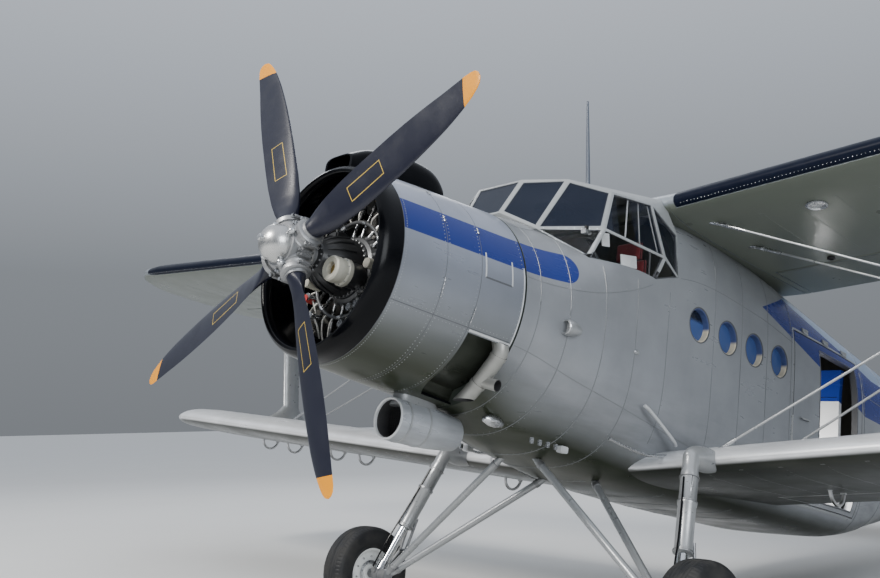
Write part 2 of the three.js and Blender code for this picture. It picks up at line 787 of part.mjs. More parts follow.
const cooler = { front: 1020, rear: 1660, z: -930, radius: 150, tail: 124 };
const coolerTube = turnedAboutY([
  [cooler.radius - 12, cooler.front],
  [cooler.radius, cooler.front],
  [cooler.radius + 6, cooler.front + 300],
  [cooler.tail, cooler.rear],
  [cooler.tail - 12, cooler.rear],
  [cooler.radius - 12, cooler.front + 330],
  [0, cooler.front + 330],
  [0, cooler.front + 150],
  [cooler.radius - 16, cooler.front + 150],
  [cooler.radius - 12, cooler.front],
], 20).translate([0, 0, cooler.z]);
const coolerHanger = box(-90, 90, cooler.front + 40, cooler.front + 430, cooler.z + 110, -700);
addPiece('oil_cooler', coolerTube.add(coolerHanger.subtract(cowlBodyClear)).subtract(fuselageSkin), 'cowl');

// The pipe leaves the upper wall of the bay, runs down along it and has one short branch
const exhaustPath = new THREE.CatmullRomCurve3([
  new THREE.Vector3(640, 1395, -320),
  new THREE.Vector3(655, 1400, -410),
  new THREE.Vector3(555, 1408, -555),
  new THREE.Vector3(370, 1414, -705),
  new THREE.Vector3(235, 1418, -775),
]);
const exhaustRadius = 58;
const exhaustShape = new THREE.Shape().absarc(0, 0, exhaustRadius, 0, 2 * Math.PI);
const exhaustPipe = solidOf(new THREE.ExtrudeGeometry(exhaustShape, {
  steps: 9,
  curveSegments: 7,
  extrudePath: exhaustPath,
  bevelEnabled: false,
}));
const exhaustBore = bar([305, 1416, -740], [205, 1419, -790], exhaustRadius - 7, 14);
const branch = bar([500, 1412, -598], [568, 1432, -640], 44, 12);
const branchBore = bar([543, 1425, -625], [580, 1436, -648], 37, 12);
const bayRoom = bayWedge(bay.front + seat, cowlRear + 200, -0.03).subtract(bayCore(bay.floor + seat));
addPiece('exhaust_pipe', exhaustPipe.add(branch).subtract(exhaustBore).subtract(branchBore)
  .intersect(bayRoom).subtract(fuselageSkin), 'exhaust');

// Propeller: dome, blade clamps and four blades
const hubBody = turnedAboutY([
  [0, -395],
  [70, -385],
  [118, -350],
  [138, -300],
  [142, -210],
  [120, -200],
  [120, -120],
  [150, -100],
  [150, 90],
  [95, 110],
  [72, 112],
  [72, 160 - seat],
  [0, 160 - seat],
], 18);
const clamps = [0, 1, 2, 3].map((i) => {
  const angle = radians(propellerPhase + 90 * i);
  const along = [Math.sin(angle), 0, Math.cos(angle)];
  return bar(along.map((value) => value * 90), along.map((value) => value * 235), 92, 8);
});
const hubAxis = [0, 1, 0];
addPiece('propeller_hub', joined([hubBody, ...clamps]), 'steel', [0, 0, 0], hubAxis);

// columns: radius, chord, thickness, pitch in degrees
const bladeRows = [
  [235 + seat, 130, 128, 28],
  [330, 186, 96, 27],
  [430, 222, 70, 24],
  [600, 256, 50, 19],
  [900, 272, 36, 14],
  [1200, 266, 27, 12],
  [1450, 228, 21, 10],
  [1600, 192, 17, 9],
  [1700, 158, 14, 9],
  [1770, 104, 10, 8],
  [propellerRadius, 36, 7, 8],
];
function bladeRing([radius, chord, thickness, pitch]) {
  return Array.from({ length: 12 }, (_, i) => {
    const angle = 2 * Math.PI * i / 12;
    const point = new THREE.Vector3(
      Math.cos(angle) * chord / 2,
      Math.sin(angle) * thickness / 2,
      radius,
    );
    return point.applyAxisAngle(new THREE.Vector3(0, 0, 1), radians(pitch));
  });
}
const blade = loft(bladeRows.map(bladeRing));
for (let i = 0; i < 4; i += 1) {
  const turn = new THREE.Matrix4().makeRotationY(radians(propellerPhase + 90 * i));
  addPiece(`propeller_blade_${i + 1}`, placed(blade, turn), 'blade');
}

// Wings in the assembly
const axisIn = (frame) => {
  const axis = new THREE.Vector3(1, 0, 0).transformDirection(frame);
  return [axis.x, axis.y, axis.z];
};
const pointIn = (frame, x, y, z) => {
  const point = new THREE.Vector3(x, y, z).applyMatrix4(frame);
  return [point.x, point.y, point.z];
};
const hingePoint = (frame, hinge) => pointIn(frame, (hinge.from + hinge.to) / 2, hinge.y, hinge.z);

addPiece('upper_wing_centre', centreSection, 'silver');
const upperPanelPlaced = placed(upperPanel, upperFrame).subtract(fuselageSkin).subtract(centreClear);
addPair('upper_wing', upperPanelPlaced, 'silver');
const slatAxis = new THREE.Vector3(0, -1, 0).transformDirection(upperFrame);
addPair('slat', placed(slatSolid, upperFrame), 'slat', pointIn(upperFrame, 4600, 100, 0),
  [slatAxis.x, slatAxis.y, slatAxis.z]);
addPair('upper_flap', placed(upperFlapSplit.moving, upperFrame), 'silver',
  hingePoint(upperFrame, upperFlapHinge), axisIn(upperFrame));
addPair('aileron', placed(aileronSplit.moving, upperFrame), 'silver',
  hingePoint(upperFrame, aileronHinge), axisIn(upperFrame));
addPair('lower_wing', lowerPanel, 'silver');
addPair('lower_flap', placed(lowerSplit.moving, lowerFrame), 'silver',
  hingePoint(lowerFrame, lowerFlapHinge), axisIn(lowerFrame));

// Interplane strut: a lens section, spread out where it meets each wing
const strutStation = 5300;
// columns: height, middle of the chord, chord, thickness
const strutRows = [
  [-470, 3830, 640, 180],
  [-345, 3830, 610, 150],
  [-270, 3845, 420, 118],
  [-170, 3835, 240, 96],
  [1250, 3560, 240, 96],
  [1370, 3540, 420, 118],
  [1460, 3530, 610, 150],
  [1590, 3520, 640, 180],
];
const strutRing = ([height, middle, chord, thickness]) => Array.from({ length: 16 }, (_, i) => {
  const angle = 2 * Math.PI * i / 16;
  return new THREE.Vector3(
    strutStation + Math.sin(angle) * thickness / 2,
    middle + Math.cos(angle) * chord / 2,
    height,
  );
});
const wingsClear = placed(liftingSurface(wingRibs(lowerOutline), seat), lowerFrame)
  .add(placed(upperClear, upperFrame));
addPair('interplane_strut', loft(strutRows.map(strutRing)).subtract(wingsClear), 'silver');

// Lift and landing wires, held together by a spreader where they cross
const wireRadius = 11;
// columns: inner end, outer end
const wireRuns = [
  [[1060, 3190, -900], [5150, 3450, 1530]],
  [[1060, 3900, -900], [5150, 3640, 1530]],
  [[900, 3360, 1210], [5140, 3700, -420]],
  [[900, 3980, 1200], [5140, 3960, -420]],
];
const spreader = bar([3190, 3220, 345], [3190, 4020, 345], 17, 10);
const wires = joined([...wireRuns.map(([inner, outer]) => bar(inner, outer, wireRadius, 8)), spreader]);
addPair('bracing_wires', wires.subtract(wingsClear).subtract(fuselageSkin).subtract(centreClear), 'steel');

// Tail surfaces, each built flat and then placed
const tailRatio = 0.1;
const tailHinge = 11430;
// columns: span station, leading edge, trailing edge
const tailplaneOutline = [
  [60, 10330, 12110],
  [2900, 10480, 12110],
  [3330, 10590, 12060],
  [3540, 10790, 11930],
  [3600, 11080, 11720],
];
const tailplaneHeight = 560;
const flatRibs = (outline, ratio) => outline.map((row) => [...row, ratio, 0]);
const tailplaneWhole = liftingSurface(flatRibs(tailplaneOutline, tailRatio));
const tailHalf = 72;
const elevatorSplit = splitAtHinge(tailplaneWhole, {
  y: tailHinge,
  z: 0,
  from: 50,
  to: 3700,
  half: tailHalf,
  nose: 44,
  swing: 35,
  lugs: [900, 3000],
});
const tailFrame = new THREE.Matrix4().makeTranslation(0, 0, tailplaneHeight);
// Room between the elevators for the rudder's swing
const rudderRoom = solidOf(new ConvexGeometry([-200, 200].flatMap((z) => [
  new THREE.Vector3(-1, tailHinge - 200, z),
  new THREE.Vector3(190, tailHinge - 200, z),
  new THREE.Vector3(190, tailHinge, z),
  new THREE.Vector3(640, tailHinge + 1000, z),
  new THREE.Vector3(-1, tailHinge + 1000, z),
])));

// columns: height, leading edge, trailing edge
const finOutline = [
  [-40, 10060, 12200],
  [560, 10060, 12330],
  [1400, 10400, 12330],
  [2300, 10770, 12200],
  [2700, 10980, 12020],
  [2880, 11180, 11860],
  [2940, 11380, 11700],
];
const finWhole = liftingSurface(flatRibs(finOutline, tailRatio));
const finClear = liftingSurface(flatRibs(finOutline, tailRatio), seat);
const rudderSplit = splitAtHinge(finWhole, {
  y: tailHinge,
  z: 0,
  from: -500,
  to: 3500,
  half: 88,
  nose: 40,
  swing: 28,
  lugs: [900, 2300],
});
const uprightFrame = new THREE.Matrix4().makeBasis(
  new THREE.Vector3(0, 0, 1),
  new THREE.Vector3(0, 1, 0),
  new THREE.Vector3(-1, 0, 0),
);
const fin = placed(rudderSplit.fixed, uprightFrame)
  .intersect(box(-500, 500, 9000, tailHinge, 500, 3000))
  .subtract(fuselageSkin);
addPiece('fin', fin, 'silver');
const rudder = placed(rudderSplit.moving, uprightFrame)
  .intersect(box(-500, 500, 11000, 13000, -41, 2990));
addPiece('rudder', rudder, 'silver', [0, tailHinge, 1200], [0, 0, 1]);
const tailplane = placed(elevatorSplit.fixed, tailFrame).subtract(fuselageSkin)
  .subtract(placed(finClear, uprightFrame));
addPair('tailplane', tailplane, 'silver');
addPair('elevator', placed(elevatorSplit.moving.subtract(rudderRoom), tailFrame), 'silver',
  [2000, tailHinge, tailplaneHeight], [1, 0, 0]);
const tailStrut = bar([100, 10900, 60], [2050, 10900, 560], 26, 10);
const tailplaneClear = placed(liftingSurface(flatRibs(tailplaneOutline, tailRatio), seat), tailFrame);
addPair('tailplane_strut', tailStrut.subtract(fuselageSkin).subtract(tailplaneClear), 'steel');

// Main gear
const axleRadius = 38;
const strutFoot = [1525, mainWheel.y, mainWheel.z];
const strutHead = [1290, 2850, -870];
const mix = (a, b, t) => a.map((value, i) => value + (b[i] - value) * t);
const rimInner = mainWheel.x - 105;
const headFairing = new THREE.SphereGeometry(1, 12, 8);
headFairing.scale(85, 230, 95);
headFairing.translate(1290, 3010, -870);
// Cylinder, piston, axle; gap adds clearance
const strutBars = (gap) => joined([
  bar(strutHead, mix(strutHead, strutFoot, 0.62), 66 + gap, 14),
  bar(mix(strutHead, strutFoot, 0.6), strutFoot, 42 + gap, 12),
  bar(
    [strutFoot[0] - 45 - gap, strutFoot[1], strutFoot[2]],
    [mainWheel.x + 60, mainWheel.y, mainWheel.z],
    axleRadius + gap,
    12,
  ),
]);
const shockStrut = strutBars(0).add(solidOf(headFairing));
addPair('shock_strut', shockStrut.subtract(wingsClear).subtract(fuselageSkin), 'steel');

const braceFoot = [1440, mainWheel.y, mainWheel.z];
const braces = joined([
  bar(braceFoot, [120, 2410, -930], 30, 10),
  bar([1440, mainWheel.y + 40, mainWheel.z], [200, 3080, -1000], 30, 10),
  bar([1395, mainWheel.y, mainWheel.z], [1480 - seat, mainWheel.y, mainWheel.z], 52, 12),
]);
addPair('gear_brace', braces.subtract(fuselageSkin).subtract(strutBars(seat + 0.2)), 'steel');

// columns: radius, place across the wheel
function rimProfile(radius, halfWidth, bore) {
  return [
    [bore, -halfWidth * 0.8],
    [radius * 0.34, -halfWidth * 0.8],
    [radius * 0.8, -halfWidth * 0.45],
    [radius, -halfWidth],
    [radius, halfWidth],
    [radius * 0.8, halfWidth * 0.45],
    [radius * 0.34, halfWidth * 0.8],
    [bore, halfWidth * 0.8],
    [bore, -halfWidth * 0.8],
  ];
}
function tyreProfile(radius, halfWidth, rim) {
  return [
    [rim + seat, -halfWidth * 0.72],
    [rim + (radius - rim) * 0.45, -halfWidth],
    [radius * 0.94, -halfWidth * 0.84],
    [radius, -halfWidth * 0.32],
    [radius, halfWidth * 0.32],
    [radius * 0.94, halfWidth * 0.84],
    [rim + (radius - rim) * 0.45, halfWidth],
    [rim + seat, halfWidth * 0.72],
    [rim + seat, -halfWidth * 0.72],
  ];
}
const mainHub = [mainWheel.x, mainWheel.y, mainWheel.z];
const mainRimRadius = 215;
const mainHalf = mainWheel.width / 2;
const sideways = [1, 0, 0];
// A faceted bore that clears its axle by the seat gap
const boreRound = (axle, sides) => (axle + seat) / Math.cos(Math.PI / sides);
const mainBore = boreRound(axleRadius, mainWheel.sides);
addPair('main_rim', turnedAboutX(rimProfile(mainRimRadius, mainHalf * 0.7, mainBore), mainWheel.sides)
  .translate(mainHub), 'steel', mainHub, sideways);
addPair('main_tyre', turnedAboutX(tyreProfile(mainWheel.radius, mainHalf, mainRimRadius), mainWheel.sides)
  .translate(mainHub), 'rubber', mainHub, sideways);

// Tail wheel in its castoring fork
const tailHub = [tailWheel.x, tailWheel.y, tailWheel.z];
const forkSide = tailWheel.width / 2 + 26;
const tailAxleRadius = 20;
const forkDrop = 45;
const forkTop = (x) => [x, forkCrown[1], forkCrown[2] - forkDrop];
const fork = joined([
  bar(along(forkCrown, -forkDrop - 10), along(forkCrown, -seat), 52, 14),
  bar(forkTop(-forkSide - 14), forkTop(forkSide + 14), 34, 10),
  ...[-1, 1].map((side) => bar(
    forkTop(side * forkSide),
    [side * forkSide, tailHub[1], tailHub[2]],
    20,
    10,
  )),
  bar(
    [-forkSide - 16, tailHub[1], tailHub[2]],
    [forkSide + 16, tailHub[1], tailHub[2]],
    tailAxleRadius,
    12,
  ),
]);
addPiece('tail_fork', fork, 'steel', forkCrown, upright);
const tailRimRadius = 118;
const tailHalfWidth = tailWheel.width / 2;
const tailBore = boreRound(tailAxleRadius, tailWheel.sides);
const tailRimProfile = rimProfile(tailRimRadius, tailHalfWidth * 0.7, tailBore);
const tailRim = turnedAboutX(tailRimProfile, tailWheel.sides).translate(tailHub);
addPiece('tail_rim', tailRim, 'steel', tailHub, sideways);
const tailTyreProfile = tyreProfile(tailWheel.radius, tailHalfWidth, tailRimRadius);
const tailTyre = turnedAboutX(tailTyreProfile, tailWheel.sides).translate(tailHub);
addPiece('tail_tyre', tailTyre, 'rubber', tailHub, sideways);

// Aerial mast on the canopy roof, ahead of the centre section
const mast = bar([0, 2963, 1300], [0, 2810, 2300], 26, 10, 12);
addPiece('aerial_mast', mast.subtract(centreClear).subtract(canopyClear), 'steel');

// Parked: nose up on the wheels, bottom centre of the whole at the origin
airframe.rotation.x = -parkAngle;
const aircraft = new THREE.Group();
aircraft.add(airframe);
aircraft.updateMatrixWorld(true);
const bounds = new THREE.Box3().setFromObject(aircraft, true);
airframe.position.set(0, -(bounds.min.y + bounds.max.y) / 2, -bounds.min.z);
aircraft.updateMatrixWorld(true);

export default aircraft;
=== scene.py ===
import math
import random

import bmesh
import bpy
import numpy as np
from mathutils import Matrix, Vector


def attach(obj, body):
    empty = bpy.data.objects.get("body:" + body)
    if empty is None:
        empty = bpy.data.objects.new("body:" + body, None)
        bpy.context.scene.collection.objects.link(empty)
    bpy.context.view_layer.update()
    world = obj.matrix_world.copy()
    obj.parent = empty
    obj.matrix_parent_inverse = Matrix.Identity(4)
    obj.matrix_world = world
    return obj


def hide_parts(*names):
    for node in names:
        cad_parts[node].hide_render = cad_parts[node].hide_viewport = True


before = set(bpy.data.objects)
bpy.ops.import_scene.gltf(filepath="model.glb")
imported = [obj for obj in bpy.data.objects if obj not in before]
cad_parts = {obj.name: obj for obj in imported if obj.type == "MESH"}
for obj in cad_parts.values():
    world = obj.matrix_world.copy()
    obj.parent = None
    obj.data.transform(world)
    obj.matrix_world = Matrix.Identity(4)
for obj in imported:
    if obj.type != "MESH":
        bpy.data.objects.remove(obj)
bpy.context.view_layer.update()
print("frame loaded")

# Lengths are in metres. Pieces are made in body axes: x to port, y aft, z up and square to the
# thrust line, from the propeller hub. The aircraft then stands tipped nose up on its wheels.
stance = {"noseUp": 11.80024, "hub": (0.0, -6.0107, 2.8667)}
tilt = Matrix.Translation(stance["hub"]) @ Matrix.Rotation(-math.radians(stance["noseUp"]), 4, "X")
untilt = tilt.inverted()
dice = random.Random(7)


def rotate(points, angle, axis="Y"):
    # angle in degrees, right-handed
    c, s = math.cos(math.radians(angle)), math.sin(math.radians(angle))
    turn = {
        "X": [[1, 0, 0], [0, c, -s], [0, s, c]],
        "Y": [[c, 0, s], [0, 1, 0], [-s, 0, c]],
        "Z": [[c, -s, 0], [s, c, 0], [0, 0, 1]],
    }[axis]
    return np.asarray(points, float) @ np.array(turn).T


def around(radius, station, angle):
    # a point on a ring about the thrust line, at an angle in degrees from the top towards port
    a = math.radians(angle)
    return np.array((radius * math.sin(a), station, radius * math.cos(a)))


def ringOf(radius, station, count, first=0.0):
    return [around(radius, station, first + 360 * i / count) for i in range(count)]


def flipped(points, side):
    # the points for one hand: side is 1 for port and -1 for starboard
    return np.asarray(points, float) * (side, 1, 1)


def linked(name, data):
    thing = bpy.data.objects.new(name, data)
    bpy.context.scene.collection.objects.link(thing)
    return thing


class Form:
    # Collects surfaces, then becomes one mesh object
    def __init__(self):
        self.points, self.faces, self.slots = [], [], []

    def add(self, points, faces, slot=0):
        start = len(self.points)
        self.points.extend(map(tuple, points))
        self.faces.extend([tuple(start + i for i in face) for face in faces])
        self.slots.extend([slot] * len(faces))
        return self

    def take(self, other, turn=0, shift=(0, 0, 0)):
        # adds another form, turned about the thrust line and moved
        start = len(self.points)
        self.points.extend(map(tuple, rotate(other.points, turn) + shift))
        self.faces.extend([tuple(start + i for i in face) for face in other.faces])
        self.slots.extend(other.slots)
        return self

    def place(self, matrix):
        # stands the form elsewhere; a mirrored one keeps its faces outward
        self.points = [tuple(matrix @ Vector(p)) for p in self.points]
        if matrix.determinant() < 0:
            self.faces = [face[::-1] for face in self.faces]
        return self

    def loft(self, rings, slot=0, closed=True, caps=True):
        rings = [np.asarray(ring, float) for ring in rings]
        count = len(rings[0])
        last = count if closed else count - 1
        faces = [
            (r * count + i, r * count + (i + 1) % count, (r + 1) * count + (i + 1) % count, (r + 1) * count + i)
            for r in range(len(rings) - 1)
            for i in range(last)
        ]
        points = list(np.concatenate(rings))
        if caps:
            for r in (0, len(rings) - 1):
                points.append(rings[r].mean(axis=0))
                hub = len(points) - 1
                faces += [(r * count + i, r * count + (i + 1) % count, hub) for i in range(count)]
        return self.add(points, faces, slot)

    def lathe(self, profile, sides=64, slot=0, axis="Y", at=(0, 0, 0), turn=None):
        # profile of (radius, height); a ring's profile repeats its first point at the end
        points = np.array([around(r, h, 360 * i / sides) for i in range(sides) for r, h in profile])
        count = len(profile)
        if axis == "X":
            points = points[:, [1, 0, 2]]
        if axis == "Z":
            points = points[:, [0, 2, 1]]
        if turn is not None:
            points = points @ np.array(turn.to_3x3()).T
        faces = [
            (i * count + j, i * count + j + 1, (i + 1) % sides * count + j + 1, (i + 1) % sides * count + j)
            for i in range(sides)
            for j in range(count - 1)
        ]
        return self.add(points + np.array(at), faces, slot)

    def tube(self, path, radius, sides=16, slot=0, caps=True):
        # radius is one number or one for each point of the path
        path = np.asarray(path, float)
        radii = np.broadcast_to(radius, len(path))
        angles = np.arange(sides) * 2 * math.pi / sides
        rings = []
        side = None
        for i, point in enumerate(path):
            run = path[min(i + 1, len(path) - 1)] - path[max(i - 1, 0)]
            run = run / np.linalg.norm(run)
            if side is None:
                guess = np.array((0, 0, 1.0)) if abs(run[2]) < 0.9 else np.array((0, 1.0, 0))
                side = np.cross(run, guess)
            side = side - run * (side @ run)
            side = side / np.linalg.norm(side)
            up = np.cross(run, side)
            rings.append(point + radii[i] * (np.outer(np.cos(angles), side) + np.outer(np.sin(angles), up)))
        return self.loft(rings, slot, True, caps)

    def block(self, low, high, slot=0, turn=None, edge=0.0):
        # a box with its edges cut by a small chamfer
        low, high = np.array(low, float), np.array(high, float)
        middle, half = (low + high) / 2, (high - low) / 2
        edge = min(edge, *(half * 0.45)) if edge else 0
        if not edge:
            points = np.array([middle + half * (x, y, z) for x in (-1, 1) for y in (-1, 1) for z in (-1, 1)])
            faces = [(0, 1, 3, 2), (4, 6, 7, 5), (0, 4, 5, 1), (2, 3, 7, 6), (0, 2, 6, 4), (1, 5, 7, 3)]
        else:
            work = bmesh.new()
            bmesh.ops.create_cube(work, size=1)
            for vertex in work.verts:
                vertex.co = Vector(np.array(vertex.co) * 2 * half + middle)
            bmesh.ops.bevel(work, geom=work.edges[:], offset=edge, segments=2, affect="EDGES")
            work.verts.index_update()
            points = np.array([vertex.co for vertex in work.verts])
            faces = [tuple(vertex.index for vertex in face.verts) for face in work.faces]
            work.free()
        if turn is not None:
            points = (points - middle) @ np.array(turn.to_3x3()).T + middle
        return self.add(points, faces, slot)

    def ball(self, centre, size, slot=0, sides=20):
        size = np.broadcast_to(size, 3)
        rows = sides // 2
        rings = [
            [
                (math.sin(math.pi * j / rows) * math.cos(2 * math.pi * i / sides),
                 math.sin(math.pi * j / rows) * math.sin(2 * math.pi * i / sides),
                 math.cos(math.pi * j / rows))
                for i in range(sides)
            ]
            for j in range(1, rows)
        ]
        return self.loft([np.array(ring) * size + centre for ring in rings], slot)

    def solid(self, name="working"):
        mesh = bpy.data.meshes.new(name)
        mesh.from_pydata(self.points, [], self.faces)
        mesh.polygons.foreach_set("material_index", self.slots)
        work = bmesh.new()
        work.from_mesh(mesh)
        bmesh.ops.remove_doubles(work, verts=work.verts, dist=2e-6)
        bmesh.ops.recalc_face_normals(work, faces=work.faces)
        work.to_mesh(mesh)
        work.free()
        return linked(name, mesh)


def carve(thing, cutters, operation="DIFFERENCE", overlapping=False):
    # cuts with each solid in turn, and drops the cutters
    for cutter in cutters:
        step = thing.modifiers.new("carve", "BOOLEAN")
        step.operation = operation
        step.solver = "EXACT"
        step.use_self = overlapping
        step.object = cutter
    made = bpy.data.meshes.new_from_object(thing.evaluated_get(bpy.context.evaluated_depsgraph_get()))
    thing.modifiers.clear()
    thing.data = made
    for cutter in cutters:
        bpy.data.objects.remove(cutter)
    return thing


def dress(thing, name, body, finishes, replaces=(), crease=32):
    # stands a finished piece in its place and gives it its finishes
    if isinstance(thing, Form):
        thing = thing.solid(name)
    thing.name = name
    thing.data.name = name
    thing.data.transform(tilt)
    if thing.data.materials:
        thing.data.materials.clear()      # this also sends every face back to the first slot
    for finish in finishes:
        thing.data.materials.append(paints[finish] if isinstance(finish, str) else finish)
    thing.data.shade_smooth()
    thing.data.set_sharp_from_angle(angle=math.radians(crease))
    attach(thing, body)
    if replaces:
        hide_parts(*([replaces] if isinstance(replaces, str) else replaces))
    return thing


def bothHands(build):
    # runs a builder for port and starboard; side is +1 or -1
    for side, hand in ((1, "port"), (-1, "starboard")):
        build(side, hand)


def curveThrough(points, steps):
    # a smooth path through points, centripetal enough for pipes
    points = [np.array(p, float) for p in points]
    ends = [2 * points[0] - points[1], *points, 2 * points[-1] - points[-2]]
    path = []
    for i in range(1, len(ends) - 2):
        a, b, c, d = ends[i - 1:i + 3]
        for t in np.linspace(0, 1, steps, endpoint=False):
            path.append(0.5 * (2 * b + (c - a) * t + (2 * a - 5 * b + 4 * c - d) * t ** 2
                               + (3 * b - a - 3 * c + d) * t ** 3))
    return np.array([*path, ends[-2]])


def spread(start, stop, steps):
    return list(np.linspace(start, stop, steps + 1))


def mixed(a, b, t):
    return np.array(a, float) * (1 - t) + np.array(b, float) * t


# Finishes: shader sums are written as expressions on sockets
class Value:
    def __init__(self, finish, socket):
        self.finish, self.socket = finish, socket

    def calc(self, operation, *values, clamp=False):
        return self.finish.node("ShaderNodeMath", {"operation": operation, "use_clamp": clamp},
                                dict(enumerate(values)))

    def __add__(self, other):
        return self.calc("ADD", self, other)

    def __sub__(self, other):
        return self.calc("SUBTRACT", self, other)

    def __rsub__(self, other):
        return self.calc("SUBTRACT", other, self)

    def __mul__(self, other):
        return self.calc("MULTIPLY", self, other)

    def __truediv__(self, other):
        return self.calc("DIVIDE", self, other)

    def __abs__(self):
        return self.calc("ABSOLUTE", self)

    __radd__ = __add__
    __rmul__ = __mul__

    def above(self, edge, soft=0.002):
        # 0 below the edge, 1 above it
        return self.calc("ADD", (self - edge) / soft, 0.5, clamp=True)

    def below(self, edge, soft=0.002):
        return self.calc("ADD", (edge - self) / soft, 0.5, clamp=True)

    def between(self, low, high, soft=0.002):
        return self.above(low, soft) * self.below(high, soft)


class Finish:
    def __init__(self, name):
        self.material = bpy.data.materials.new(name)
        self.material.use_nodes = True
        self.tree = self.material.node_tree
        self.tree.nodes.clear()
        self.out = self.tree.nodes.new("ShaderNodeOutputMaterial")
        self.position = self.node("ShaderNodeTexCoord", output="Object")
        self.bodyPoint = self.node("ShaderNodeMapping", {}, {
            "Vector": self.position,
            "Location": untilt.translation,
            "Rotation": untilt.to_euler(),
        })

    def node(self, kind, settings=None, inputs=None, output=0):
        made = self.tree.nodes.new(kind)
        for key, value in (settings or {}).items():
            setattr(made, key, value)
        for key, value in (inputs or {}).items():
            socket = made.inputs[key]
            if isinstance(value, Value):
                self.tree.links.new(value.socket, socket)
            else:
                socket.default_value = value
        return Value(self, made.outputs[output])

    def axes(self):
        return [self.node("ShaderNodeSeparateXYZ", {}, {0: self.bodyPoint}, output=axis) for axis in "XYZ"]

    def facingDown(self):
        # how far a face looks down in body axes, from -1 to 1; it masks the painted shade on bellies and wing
        # undersides
        facing = self.node("ShaderNodeTexCoord", output="Normal")
        down = tilt.to_3x3() @ Vector((0, 0, -1))
        return self.node("ShaderNodeVectorMath", {"operation": "DOT_PRODUCT"}, {0: facing, 1: down},
                         output="Value")

    def noise(self, scale, detail=4, rough=0.55, stretch=(1, 1, 1), point=None):
        source = point or self.bodyPoint
        if stretch != (1, 1, 1):
            source = self.node("ShaderNodeMapping", {}, {"Vector": source, "Scale": stretch})
        return self.node("ShaderNodeTexNoise", {}, {
            "Vector": source, "Scale": scale, "Detail": detail, "Roughness": rough,
        })

    def blendColour(self, factor, first, second):
        sockets = {0: factor, 6: first, 7: second}
        colours = {key: (*value, 1) if isinstance(value, tuple) and len(value) == 3 else value
                   for key, value in sockets.items()}
        return self.node("ShaderNodeMix", {"data_type": "RGBA"}, colours, output=2)

    def spreadOut(self, value, low, high, newLow=0.0, newHigh=1.0):
        return self.node("ShaderNodeMapRange", {}, {
            "Value": value, "From Min": low, "From Max": high, "To Min": newLow, "To Max": newHigh,
        })

    def bump(self, height, depth, strength=1.0, under=None):
        sockets = {"Height": height, "Distance": depth, "Strength": strength}
        if under:
            sockets["Normal"] = under
        return self.node("ShaderNodeBump", {}, sockets)

    def surface(self, **sockets):
        # socket names are written in camel case: baseColor stands for Base Color
        named = {key[0].upper() + "".join(" " + c if c.isupper() else c for c in key[1:]): value
                 for key, value in sockets.items()}
        named = {key.replace("I O R", "IOR"): value for key, value in named.items()}
        shader = self.node("ShaderNodeBsdfPrincipled", {}, named)
        self.tree.links.new(shader.socket, self.out.inputs["Surface"])
        return self.material


